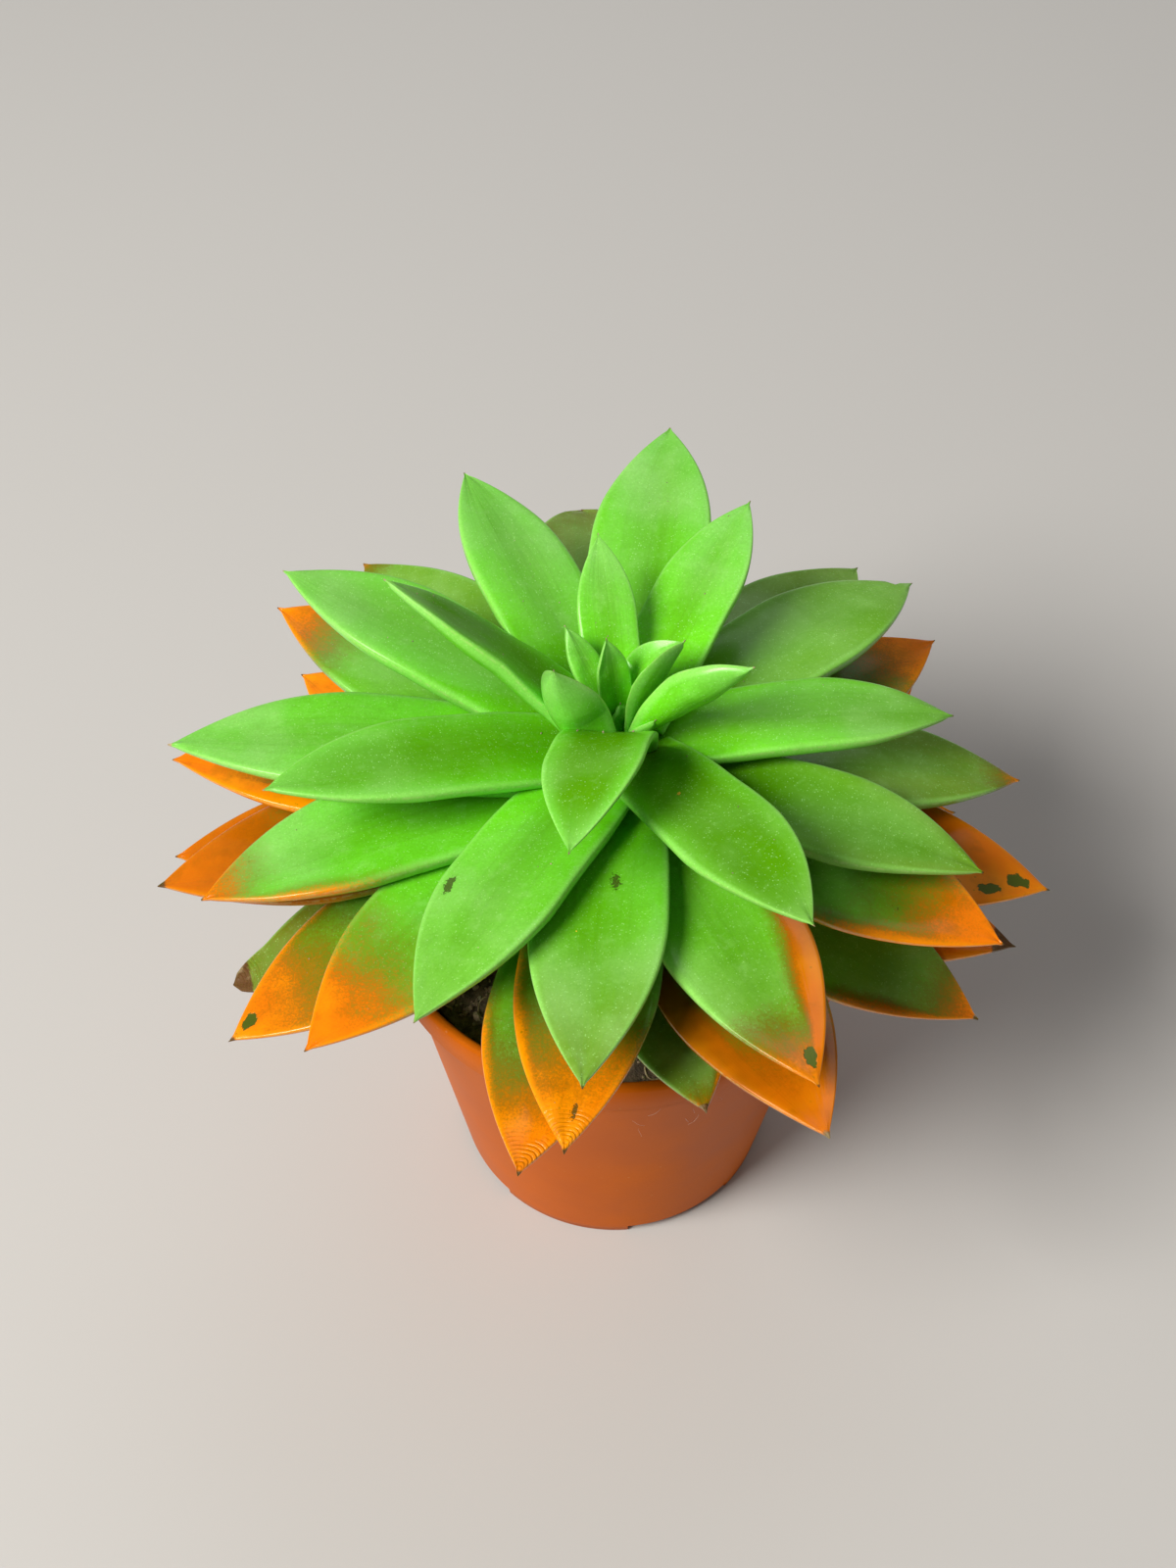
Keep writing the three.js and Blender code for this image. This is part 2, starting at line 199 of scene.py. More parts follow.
# The leaves' skin: green from the heart out, dyed orange from the tips and margins of the older ones
leafLook = {
    "rootGreen": (0.172, 0.740, 0.010),  # bright yellow-green near the heart
    "midGreen": (0.155, 0.630, 0.020),
    "tipGreen": (0.205, 0.590, 0.085),  # powdery towards the tip
    # bandGreen is also the colour of the painted shade that the shade trait lays over a leaf's middle
    "bandGreen": (0.085, 0.300, 0.001),  # the darker band along the middle
    # the grey green of old leaves, also laid as painted shade on leaves that get less light
    "oldAndShadedGreen": (0.160, 0.185, 0.014),
    "marginGreen": (0.360, 0.800, 0.180),
    "hairline": (0.50, 0.60, 0.22),  # the thin dry line round a margin
    "bloom": (0.410, 0.770, 0.230),
    "olive": (0.165, 0.138, 0.001),
    "orange": (0.850, 0.195, 0.001),
    "amber": (0.900, 0.285, 0.001),
    "rust": (0.420, 0.130, 0.001),
    "deepOrange": (0.290, 0.080, 0.001),
    "driedBrown": (0.12, 0.055, 0.014),
    "driedCream": (0.42, 0.33, 0.18),
    "flakeGreen": (0.075, 0.100, 0.008),
    "scarBrown": (0.045, 0.050, 0.008),

    # clouds as (scale, detail, roughness), the scale counted in a metre
    "patchy": (55, 3, 0.5),
    "mottled": (240, 4, 0.6),
    "fine": (900, 3, 0.6),
    "grainy": (2300, 2, 0.65),
    "streaks": (1, 3, 0.55),
    "streakStretch": (17, 1.3, 1),  # across and along the leaf
    "dyeCloud": (110, 5, 0.65),
    "deepCloud": (90, 3, 0.5),
    "ringCloud": (400, 2, 0.5),
    "flakeCloud": (500, 3, 0.6),
    "specks": (1700, 0.25),  # dots as (scale, radius as a part of the space between two)
    "pores": (640, 0.2),

    # layers of colour as (what each follows, from, to, its share there and there, its colour)
    "greenLayers": [
        ("run", 0.10, 0.52, 0, 1, "midGreen"),
        ("run", 0.50, 1.02, 0, 1, "tipGreen"),
    ],
    "skinLayers": [
        ("streaks", 0.50, 0.78, 0, 0.24, "bandGreen"),
        ("mottled", 0.48, 0.28, 0, 0.22, "bandGreen"),
        ("mottled", 0.52, 0.74, 0, 0.16, "bloom"),
    ],
    "powderLayers": [
        ("across", 0.43, 0.49, 0, 0.4, "marginGreen"),
        ("grainy", 0.36, 0.64, 0.16, 0, "bandGreen"),
        ("fine", 0.50, 0.75, 0, 0.10, "bloom"),
    ],
    "dyeLayers": [
        ("patchy", 0.45, 0.68, 0, 1, "amber"),
        ("soaked", 0.92, 0.56, 0, 0.85, "rust"),
        ("mottled", 0.52, 0.30, 0, 0.45, "rust"),
        ("across", 0.38, 0.49, 0, 0.6, "amber"),
    ],
    "huskLayers": [
        ("old", 0.25, 0.6, 0, 1, "driedBrown"),
        ("mottled", 0.50, 0.66, 0, 0.5, "driedCream"),
    ],

    # how the rest is spread, as (from, to) or (from, to, value there, value there)
    "bandAcross": (0.30, 0.03),
    "bandAlong": (0.97, 0.62, 0, 0.52),
    "bandStreaks": (0.25, 0.70, 0.7, 1),
    "shadeAcross": (0.50, 0.20, 0.25, 1),
    "shadeAlong": (1, 0.75, 0.35, 1),
    "bloomPatches": (0.40, 0.70),
    "bloomAlong": (0.25, 0.95, 0.02, 0.30),
    "speckFading": (0.38, 0.60, 0.14, 0.55),
    "oliveSoak": (0.02, 0.46),
    "oliveDye": (0, 0.12),
    "oliveDull": (0, 0.6, 0.5, 0.85),
    "orangeSoak": (0.34, 0.74),
    "orangeDye": (0.02, 0.25),
    "deepSpread": (0.30, 0.62, 0.6, 1),
    "poreSpread": (0.50, 0.66),
    "poreDye": (0.1, 0.4, 0, 0.55),
    "ringTrough": (0.3, -1),
    "ringSpread": (0.35, 0.60, 0.2, 1),
    "hairlineAcross": (0.497, 0.4998),
    "hairlineFading": (0.38, 0.6, 0, 0.3),
    "scarEdge": (0.48, 0.60),
    "scarReach": (0.08, 0.25),
    "flakeEdge": (0.50, 0.58),
    "flakeReach": (0.1, 0.3),
    "dryEdge": (0.42, 0.66),
    "shadeSpecular": (0.3, 0.9, 0.40, 0.05),
    "shadeCoat": (0.3, 1, 0.18, 0.05),

    # how far the clouds carry an edge to and fro, and the share of what is laid over the skin
    "runSwing": 0.6,
    "dyeSwing": 0.5,
    "scarSwing": 1.5,
    "flakeSwing": 1.2,
    "drySwing": 0.5,
    "dullShare": 0.9,
    "scarShare": 0.85,
    "ringShare": 0.26,
    "ringRate": 640,  # radians along the whole leaf
    "ringBow": -40,
    "ringWander": 5.0,

    "roughness": 0.25,
    "roughSwing": 0.14,
    "dyedGloss": 0.10,
    "driedRoughness": 0.35,
    "glossTint": 0.65,  # how much of the skin's own colour its gloss takes
    "sockets": {
        "Coat Roughness": 0.18,
        "Subsurface Weight": 0.14,
        "Subsurface Radius": (0.5, 1.0, 0.08),
        "Subsurface Scale": 0.0026,
    },
    "relief": {
        "fine": 0.45, "streaks": 1.5, "patchy": 2.0, "scarred": -3.0, "ringed": -3.5, "chipped": -3.0,
    },
    "driedRelief": 5.0,
    "skinDepth": 0.00005,
    "skinRelief": 0.8,
}
leafTraits = ("dye", "deep", "dry", "scar", "flake", "dull", "shade", "rings", "upper")


def leafMaterial(name):
    look = leafLook
    material, tree, shader = startMaterial(name)
    place = objectPlace(tree)

    def cloud(name):
        return cloudy(tree, place, *look[name])

    def spread(source, name):
        return ranged(tree, source, *look[name])

    leafMap = tree.nodes.new("ShaderNodeUVMap")
    leafMap.uv_map = "leafMap"
    split = tree.nodes.new("ShaderNodeSeparateXYZ")
    feed(tree, split.inputs[0], leafMap.outputs["UV"])
    along = split.outputs["Y"]
    across = worked(tree, "ABSOLUTE", worked(tree, "SUBTRACT", split.outputs["X"], 0.5))  # 0.5 at the margin
    dye, deep, dry, scar, flake, dull, shade, rings, upper = (attribute(tree, trait) for trait in leafTraits)

    patchy = cloud("patchy")
    mottled = cloud("mottled")
    fine = cloud("fine")
    grainy = cloud("grainy")
    streaks = cloudy(tree, stretched(tree, leafMap.outputs["UV"], look["streakStretch"]), *look["streaks"])
    sources = {"across": across, "patchy": patchy, "mottled": mottled, "fine": fine, "grainy": grainy,
               "streaks": streaks}

    # green, from the heart out to the tip
    sources["run"] = plus(tree, along, swing(tree, patchy, look["runSwing"]))
    colour = layered(tree, look["rootGreen"], sources, look, "greenLayers")
    # a greyer green with age, part of it painted shade and light, set leaf by leaf to how much light falls on
    # it
    colour = mixed(tree, times(tree, dull, look["dullShare"]), colour, look["oldAndShadedGreen"])
    band = times(tree, spread(across, "bandAcross"), spread(along, "bandAlong"))
    band = times(tree, band, spread(streaks, "bandStreaks"))
    colour = mixed(tree, times(tree, band, upper), colour, look["bandGreen"])
    colour = layered(tree, colour, sources, look, "skinLayers")
    # the darker green of a leaf's middle, part of it the leaf's own colour and part painted shade and light,
    # set leaf by leaf to how much light falls on it
    shaded = times(tree, shade, spread(across, "shadeAcross"))
    shaded = times(tree, shaded, spread(along, "shadeAlong"))
    colour = mixed(tree, shaded, colour, look["bandGreen"])
    bloom = times(tree, spread(patchy, "bloomPatches"), spread(along, "bloomAlong"))
    colour = mixed(tree, bloom, colour, look["bloom"])
    colour = layered(tree, colour, sources, look, "powderLayers")
    specks = times(tree, dotted(tree, place, *look["specks"]), spread(fine, "speckFading"))
    colour = mixed(tree, specks, colour, look["bloom"])

    # dye, soaked in from the tip and margins, and grainy where it runs out
    ragged = plus(tree, swing(tree, cloud("dyeCloud"), look["dyeSwing"]),
                  swing(tree, grainy, look["dyeSwing"]))
    soaked = plus(tree, dye, ragged)
    olive = times(tree, spread(soaked, "oliveSoak"), spread(dye, "oliveDye"))
    olive = times(tree, olive, spread(dull, "oliveDull"))
    colour = mixed(tree, olive, colour, look["olive"])
    dyed = times(tree, spread(soaked, "orangeSoak"), spread(dye, "orangeDye"))
    sources["soaked"] = soaked
    orange = layered(tree, look["orange"], sources, look, "dyeLayers")
    deepening = times(tree, deep, spread(cloud("deepCloud"), "deepSpread"))
    orange = mixed(tree, deepening, orange, look["deepOrange"])
    colour = mixed(tree, dyed, colour, orange)
    pores = times(tree, dotted(tree, place, *look["pores"]), spread(patchy, "poreSpread"))
    pores = times(tree, pores, spread(dye, "poreDye"))
    colour = mixed(tree, pores, colour, look["olive"])

    # wrinkles in rings round a shrinking tip
    bowed = times(tree, times(tree, across, across), look["ringBow"])
    wandering = plus(tree, bowed, times(tree, mottled, look["ringWander"]))
    wrinkle = worked(tree, "SINE", plus(tree, times(tree, along, look["ringRate"]), wandering))
    ringed = times(tree, rings, spread(wrinkle, "ringTrough"))
    ringed = times(tree, ringed, spread(cloud("ringCloud"), "ringSpread"))
    colour = mixed(tree, times(tree, ringed, look["ringShare"]), colour, look["deepOrange"])

    # the thin dry line round the margin, scars, green flakes in the orange, and dried tips
    hairline = times(tree, spread(across, "hairlineAcross"), spread(fine, "hairlineFading"))
    colour = mixed(tree, hairline, colour, look["hairline"])
    torn = plus(tree, scar, swing(tree, grainy, look["scarSwing"]))
    scarred = times(tree, spread(torn, "scarEdge"), spread(scar, "scarReach"))
    colour = mixed(tree, times(tree, scarred, look["scarShare"]), colour, look["scarBrown"])
    chipped = plus(tree, flake, swing(tree, cloud("flakeCloud"), look["flakeSwing"]))
    chipped = times(tree, spread(chipped, "flakeEdge"), spread(flake, "flakeReach"))
    colour = mixed(tree, chipped, colour, look["flakeGreen"])
    dried = spread(plus(tree, dry, swing(tree, fine, look["drySwing"])), "dryEdge")
    sources["old"] = plus(tree, dull, dye)
    colour = mixed(tree, dried, colour, layered(tree, look["driedCream"], sources, look, "huskLayers"))

    feed(tree, shader.inputs["Base Color"], colour)
    rough = plus(tree, swing(tree, patchy, look["roughSwing"]), look["roughness"])
    rough = worked(tree, "SUBTRACT", rough, times(tree, dyed, look["dyedGloss"]))
    feed(tree, shader.inputs["Roughness"], plus(tree, rough, times(tree, dried, look["driedRoughness"])))
    feed(tree, shader.inputs["Specular Tint"], mixed(tree, look["glossTint"], (1.0, 1.0, 1.0), colour))
    feed(tree, shader.inputs["Specular IOR Level"], spread(shade, "shadeSpecular"))
    feed(tree, shader.inputs["Coat Weight"], spread(shade, "shadeCoat"))
    setSockets(shader, look["sockets"])
    sources.update(scarred=scarred, ringed=ringed, chipped=chipped)
    relief = times(tree, dried, times(tree, grainy, look["driedRelief"]))
    relief = raised(tree, relief, sources, look["relief"])
    bumped(tree, shader, relief, look["skinDepth"], look["skinRelief"])
    return material


# The leaves' form follows the same rules by age as the frame's solids. Age counts from the heart, 0 being
# the youngest.
rosette = {
    "growingPoint": 128,  # height of the youngest leaf's root
    "rootStep": 0.42,  # down the stem from one root to the next
    "rootStepGrowth": 0.0105,
    "stemRadius": 6.4,
    "heartCore": 0.15,  # the youngest root's distance from the axis, of the stem's radius
    "stemReached": 16,  # ages over which the roots come out to the stem's full radius
    "heartRise": 78,  # degrees
    "riseFade": 10,  # ages
    "oldSink": 0.2,  # degrees an age
    "mostDroop": 20,  # degrees
    "mostDroopAge": 14,
    "fullLength": 75,
    "firstGrowth": 3,  # ages
    "growthAges": 9,
    "growthPower": 1.3,
    "youngWidth": 0.315,  # of the length
    "oldWidth": 0.345,
    "wideningAges": (12, 24),
    "youngRootWidth": 0.86,  # of the leaf's full width
    "oldRootWidth": 0.5,
    "rootNarrowingAges": (6, 22),
    "widestAt": 0.56,  # part of the way from root to tip
    "fullThickness": 6.4,
    "youngThickness": 0.35,  # of the full thickness
    "thickeningAges": 20,
    "mostThickness": 0.75,  # half of it, as a part of the half width
    "neckThickness": 0.6,
    "neckEnd": 0.3,
    "tipThickness": 0.12,
    "tipTaper": 0.4,
    "tipTaperPower": 0.8,
    "cup": 0.12,  # rise of the margins over the middle, of the half width
    "topFullness": 0.58,
    "keelFullness": 1.3,
    "marginBluntness": 0.8,  # 1 is an ellipse, and less is blunter
    "around": 48,
    "rows": 76,
    "rowCrowding": 0.055,  # how much closer the rows lie near the tip
    "spineSteps": 60,
}

# What the skin has beyond the solids: a fine point, uneven margins, a crease and waves. Where nothing else is
# said, a size is a part of the leaf's half width or length.
skinForm = {
    "spikeLength": 1.7,  # in mm, the fine point that ends a leaf
    "spikeWidth": 0.34,  # in mm
    "spikeSpan": 3,  # spike lengths over which it is a margin's least width
    "spikeEnd": 0.2,
    "spikeOverlap": 0.3,  # how far the leaf's own outline runs into it, in spike lengths
    "spikeDried": 0.25,  # the part of it that is dry on any leaf
    "leafSeed": (7.3, 2.1),
    "wander": 0.02,  # how unevenly a margin runs
    "wanderRate": (5, 0.6, 0),  # along, across and where in the noise
    "waviness": 0.3,  # in mm, up and down
    "waveRate": (5, 1.3, 3),
    "calmRoot": 0.3,  # up to here the waves grow
    "crease": 0.12,  # in mm, depth of the line along the middle
    "creaseWidth": 0.1,
    "creaseEnds": (0.05, 0.3),
    "bluntLength": 0.11,
    "bluntSpan": (0.5, 0.8),
    "notchDepth": 0.10,
    "notchAt": 0.95,
    "notchLength": 0.012,
    "scarWidth": 0.34,  # of a mark's own length
    "flakeWidth": 0.6,
    "dryBlur": 0.02,
    "deepFade": 1.35,  # the brown in the dye fades from the root to this less the whole length
    "fadeSpan": (0.4, 1.0),
    "ringSpan": (0.87, 0.96),
    "upperSpan": (-0.1, 0.3),
}
dyeSoak = {
    "tipBlur": 0.06,  # length over which the dye thins out behind the tip
    "tipBlurGrowth": 0.6,
    "edgeBlur": 0.3,  # of the half width, the same behind a margin
    "favour": 1.2,  # how much more soaks in from the favoured margin
    "rootHold": 1.8,  # how strongly it is held back near the root
    "rootHoldSpan": (0.2, 0.85),
    "farHold": 1.2,  # the same at the other margin
    "most": 1.4,
}

# One row a leaf, from the heart outwards and down. turn is its direction in degrees (-90 is the front).
# lift, bend and stretch are what it rises, droops and measures beyond the rules, twist its tilt to one side,
# broad its width as a part of the usual, cup its hollow, out and down a root further from the axis and lower.
# tip and edge say how far the dye has soaked in from the tip and the margins, side the margin that has more,
# and deep how brown it is. dry is the dried part, dull its loss of green, part of it the leaf's own greyer
# green with age and part painted shade and light, set leaf by leaf to how much light falls on it, fade the
# same towards the tip only, shade the darker green of its middle, part of it the leaf's own colour and part
# painted shade and light, set the same way, and rings how strong the wrinkles near its tip are. blunt and
# notch shape the tip. scars and flakes are (along, across, length) of marks on the upper side.
leaves = [
    {"turn": 122, "stretch": 2, "broad": 1.12, "cup": 0.3},
    {"turn": -146, "lift": -13, "stretch": 7, "bend": -34, "twist": 30, "broad": 1.28, "cup": 0.7,
     "out": 3.4, "down": 4.5},
    {"turn": 130, "lift": -14, "stretch": -9},
    {"turn": 32, "lift": 25, "stretch": -14, "bend": 46, "twist": -32, "broad": 1.5, "cup": 0.84},
    {"turn": -12, "lift": 7, "stretch": -9, "bend": 10, "twist": -74, "broad": 0.94, "cup": 0.39},
    {"turn": -102, "lift": 20, "stretch": 3, "bend": 67, "twist": 14, "broad": 1.15, "shade": 0.95},
    {"turn": 97, "stretch": -14},
    {"turn": 166, "lift": 9, "stretch": -4, "twist": 30, "shade": 0.85},
    {"turn": 62, "lift": -9, "stretch": -5, "twist": -8},
    {"turn": -61, "lift": -2, "stretch": 1, "shade": 1.0, "dull": 0.15, "fade": 0.2},
    {"turn": -161, "lift": -5, "stretch": -1, "twist": 4, "shade": 0.6},
    {"turn": 5, "lift": -8, "stretch": -8, "bend": 8, "twist": -6, "fade": 0.3, "shade": 0.45},
    {"turn": -117, "lift": -2, "stretch": 2, "twist": 12, "fade": 0.3,
     "scars": [(0.61, -0.78, 2.5)]},
    {"turn": 154, "lift": 5, "stretch": -3, "twist": 5, "shade": 0.4},
    {"turn": 116, "lift": 4, "stretch": -6, "twist": 10, "shade": 0.3},
    {"turn": 82, "lift": 3, "stretch": 2, "twist": -6, "shade": 0.2},
    {"turn": 40, "lift": -7, "stretch": -1, "twist": -5, "notch": 1, "dull": 0.5, "shade": 0.3},
    {"turn": -95, "lift": 9, "stretch": -2, "twist": 5, "shade": 0.25, "fade": 0.8,
     "scars": [(0.415, 0.22, 2.4), (0.42, -0.5, 1.3)]},
    {"turn": -23, "lift": 3, "stretch": -11, "twist": -5, "dull": 0.5, "fade": 0.3, "shade": 0.8},
    {"turn": -178, "lift": 9, "stretch": 1, "twist": 10, "dry": 0.006},
    {"turn": -158, "lift": 3, "stretch": -2, "twist": 8, "tip": 0.1, "edge": 0.07, "side": 1},
    {"turn": 5, "lift": -5, "stretch": -4, "twist": -8, "tip": 0.05, "dull": 0.8},
    {"turn": -67, "lift": 14, "stretch": -2, "tip": 0.12, "edge": 0.34, "side": 1, "deep": 0.9,
     "dull": 0.15, "fade": 0.5, "flakes": [(0.93, 0.3, 2.2)]},
    {"turn": -132, "lift": 6, "stretch": -3, "tip": 0.25, "edge": 0.04, "fade": 0.3,
     "scars": [(0.52, -0.25, 2.2), (0.58, 0.1, 1.6)]},
    {"turn": 51, "lift": 1, "stretch": -3, "dull": 0.75},
    {"turn": -97, "lift": 9, "stretch": -4, "twist": 4, "tip": 0.26, "edge": 0.15, "side": -1, "rings": 1,
     "dull": 0.65, "dry": 0.006, "scars": [(0.90, 0.15, 2.0), (0.72, -0.3, 1.6)]},
    {"turn": -28, "lift": 8, "stretch": -7, "twist": 5, "tip": 0.24, "edge": 0.13, "side": -1,
     "dull": 0.25, "scars": [(0.72, -0.3, 1.4)]},
    {"turn": 151, "lift": 17, "stretch": -7, "tip": 0.17, "edge": 0.3, "side": -1, "dull": 0.3},
    {"turn": 177, "lift": 12, "tip": 0.34, "edge": 0.34, "side": 1, "dull": 0.3},
    {"turn": 129, "lift": 6, "twist": -6, "tip": 0.03, "dull": 0.6},
    {"turn": -169, "lift": 6, "stretch": 3, "twist": 4, "tip": 0.4, "edge": 0.3, "deep": 1.3,
     "dull": 0.6, "dry": 0.015},
    {"turn": -11, "lift": 5, "stretch": -2, "tip": 1.1, "edge": 0.5, "deep": 0.5, "dull": 0.6, "dry": 0.006,
     "flakes": [(0.845, -0.55, 2.4), (0.915, -0.1, 3.0)]},
    {"turn": -148, "lift": 1, "twist": 4, "tip": 0.25, "edge": 0.18, "dull": 0.5, "dry": 0.012,
     "flakes": [(0.93, -0.2, 2.4)]},
    {"turn": 36, "lift": 7, "stretch": -3, "twist": -4, "tip": 0.24, "dull": 0.45, "shade": 0.6},
    {"turn": -67, "lift": 22, "stretch": 2, "tip": 0.32, "edge": 0.34, "side": -1, "deep": 1.5,
     "dull": 0.8, "dry": 0.012},
    {"turn": 95, "lift": 26, "stretch": 1, "bend": 30, "dull": 1.1, "blunt": 0.66},
    {"turn": -102, "lift": 19, "stretch": -1, "twist": 4, "tip": 0.22, "edge": 0.1, "side": -1, "rings": 1,
     "dull": 0.55, "dry": 0.006},
    {"turn": 65, "lift": 1, "stretch": -1, "tip": 0.3, "edge": 0.1, "dull": 0.7},
    {"turn": -178, "lift": 8, "stretch": 1, "tip": 0.35, "edge": 0.3, "deep": 1.4, "dull": 0.7},
    {"turn": -28, "lift": 3, "stretch": -8, "twist": 6, "tip": 0.1, "edge": 0.1, "side": -1,
     "dull": 0.6, "deep": 0.4, "dry": 0.01},
    {"turn": -163, "lift": -2, "stretch": -5, "dull": 1.1, "dry": 0.05, "rings": 0.5, "blunt": 0.42},
    {"turn": 143, "lift": 6, "stretch": -1, "tip": 0.6, "edge": 0.3, "dull": 0.7},
    {"turn": -78, "lift": 25, "stretch": -14, "twist": 6, "tip": 0.04, "edge": 0.06, "side": 1,
     "deep": 0.8, "dull": 0.8, "dry": 0.02},
    {"turn": 12, "lift": 6, "stretch": -14, "tip": 0.4, "edge": 0.2, "dull": 0.9},
    {"turn": -14, "lift": 9, "stretch": -6, "tip": 0.4, "edge": 0.2, "deep": 0.7, "dull": 0.9, "dry": 0.06},
    {"turn": 105, "lift": 8, "tip": 0.5, "edge": 0.2, "dull": 0.9},
    {"turn": 40, "lift": 11, "tip": 0.5, "edge": 0.3, "dull": 0.9},
]


def rootHeight(age):
    return rosette["growingPoint"] - rosette["rootStep"] * age - rosette["rootStepGrowth"] * age ** 2


def rootRadius(age):
    return rosette["stemRadius"] * min(1, rosette["heartCore"] + age / rosette["stemReached"])


def fullRise(age):
    return rosette["heartRise"] * math.exp(-age / rosette["riseFade"]) - rosette["oldSink"] * age


def droop(age):
    part = age / rosette["mostDroopAge"]
    return rosette["mostDroop"] * part * math.exp(1 - part)


def leafLength(age, leaf):
    growth = ((age + rosette["firstGrowth"]) / rosette["growthAges"]) ** rosette["growthPower"]
    return rosette["fullLength"] * (1 - math.exp(-growth)) + leaf.get("stretch", 0)


def widthPerLength(age):
    return blend(rosette["youngWidth"], rosette["oldWidth"], ease(age, *rosette["wideningAges"]))


def rootWidth(age):
    grown = ease(age, *rosette["rootNarrowingAges"])
    return blend(rosette["youngRootWidth"], rosette["oldRootWidth"], grown)


def leafThickness(age):
    return rosette["fullThickness"] * min(1, rosette["youngThickness"] + age / rosette["thickeningAges"])


def outline(along, atRoot):
    # half width along the leaf as part of its widest
    widest = rosette["widestAt"]
    if along > widest:
        return 1 - ((along - widest) / (1 - widest)) ** 2
    return 1 - (1 - atRoot) * ((widest - along) / widest) ** 2


def plumpness(along):
    # half thickness along the leaf: a stout neck, full in the middle, thin at the tip
    neck = blend(rosette["neckThickness"], 1, min(1, along / rosette["neckEnd"]))
    tip = min(1, (1 - along) / rosette["tipTaper"]) ** rosette["tipTaperPower"]
    return neck * blend(rosette["tipThickness"], 1, tip)


def blunted(value):
    # rounds a square wave's corners: a leaf's cross-section, blunter than an ellipse
    return math.copysign(abs(value) ** rosette["marginBluntness"], value)


def leafSpine(age, leaf):
    # the leaf's middle line as (out, high, slope) from root to tip
    steps = rosette["spineSteps"]
    length = leafLength(age, leaf)
    rise = fullRise(age) + leaf.get("lift", 0)
    sink = droop(age) + leaf.get("bend", 0)
    slopes = [math.radians(rise - sink * i / steps) for i in range(steps + 1)]
    out = rootRadius(age) + leaf.get("out", 0)
    high = rootHeight(age) - leaf.get("down", 0)
    spine = [(out, high, slopes[0])]
    for i in range(1, steps + 1):
        slope = (slopes[i] + slopes[i - 1]) / 2
        out += math.cos(slope) * length / steps
        high += math.sin(slope) * length / steps
        spine.append((out, high, slopes[i]))
    return spine


def spineAt(spine, along):
    at = along * (len(spine) - 1)
    low = min(int(at), len(spine) - 2)
    return [blend(a, b, at - low) for a, b in zip(spine[low], spine[low + 1])]


def dyeAt(leaf, along, across):
    tip, edge, side = leaf.get("tip", 0), leaf.get("edge", 0), leaf.get("side", 0)
    if not tip:
        return 0
    soak = dyeSoak
    favour = clamp(1 + soak["favour"] * side * across, 0, 2) if side else 1
    fromTip = (along - (1 - tip)) / (soak["tipBlur"] + soak["tipBlurGrowth"] * tip)
    fromEdge = -1
    if edge:
        nearRoot = 1 - ease(along, *soak["rootHoldSpan"])
        held = soak["rootHold"] * nearRoot + soak["farHold"] * (1 - min(1, favour))
        fromEdge = (abs(across) - (1 - edge * favour)) / soak["edgeBlur"] - held
    return clamp(0.5 + 0.5 * max(fromTip, fromEdge), 0, soak["most"])


def markAt(marks, along, across, length, wide, spread):
    # 1 in the middle of a mark, whose width is spread as a part of its length
    nearest = 0
    for markAlong, markAcross, size in marks:
        lengthwise = (along - markAlong) * length / size
        sideways = (across - markAcross) * wide / (spread * size)
        nearest = max(nearest, math.exp(-lengthwise ** 2 - sideways ** 2))
    return nearest


def unevenness(age, along, across, rate):
    # a smooth wander over the skin, from -1 to 1, with a place of its own in the noise for each leaf
    step, side = skinForm["leafSeed"]
    alongRate, acrossRate, level = rate
    start = Vector((age * step, side, 0))
    return noise.noise(Vector((along * alongRate, across * acrossRate, level)) + start)


def halfWidthAt(age, leaf, along, across):
    # half width of the skin in mm, with its uneven margin and whatever shapes its tip
    form = skinForm
    length = leafLength(age, leaf)
    halfWidth = leaf.get("broad", 1) * widthPerLength(age) * length / 2
    spike = form["spikeLength"] / length
    wide = halfWidth * outline(clamp(along / (1 - form["spikeOverlap"] * spike)), rootWidth(age))
    wide *= 1 + form["wander"] * unevenness(age, along, across, form["wanderRate"])
    if leaf.get("blunt"):
        rounding = clamp((1 - along) / form["bluntLength"]) ** 0.5 * ease(along, *form["bluntSpan"])
        wide = max(wide, halfWidth * leaf["blunt"] * rounding)
    if leaf.get("notch"):
        nearNotch = math.exp(-((along - form["notchAt"]) / form["notchLength"]) ** 2)
        wide -= halfWidth * form["notchDepth"] * nearNotch * (across > 0)
    if along > 1 - form["spikeSpan"] * spike:
        wide = max(wide, form["spikeWidth"] * clamp((1 - along) / spike + form["spikeEnd"]))
    return wide


def leafPoint(age, leaf, spine, along, across, above):
    # a point of the leaf's skin, across and above running from -1 to 1, with the half width there
    form = skinForm
    wide = halfWidthAt(age, leaf, along, across)
    thick = min(leafThickness(age) / 2 * plumpness(along), rosette["mostThickness"] * wide)
    up = above * thick * (rosette["topFullness"] if above > 0 else rosette["keelFullness"])
    up += leaf.get("cup", rosette["cup"]) * wide * across ** 2
    middle = ease(along, *form["creaseEnds"]) * ease(1 - along, *form["creaseEnds"])
    up -= form["crease"] * math.exp(-(across / form["creaseWidth"]) ** 2) * middle * (above > 0)
    wave = unevenness(age, along, across, form["waveRate"])
    up += form["waviness"] * wave * ease(along, 0, form["calmRoot"])

    side = across * wide
    tilt = math.radians(leaf.get("twist", 0)) * min(1, 2 * along)
    cosTilt, sinTilt = math.cos(tilt), math.sin(tilt)
    side, up = side * cosTilt - up * sinTilt, side * sinTilt + up * cosTilt
    spineOut, spineHigh, slope = spineAt(spine, along)
    out = spineOut - up * math.sin(slope)
    high = spineHigh + up * math.cos(slope)
    turn = math.radians(leaf["turn"])
    cosTurn, sinTurn = math.cos(turn), math.sin(turn)
    return Vector((out * cosTurn - side * sinTurn, out * sinTurn + side * cosTurn, high)) * mm, wide


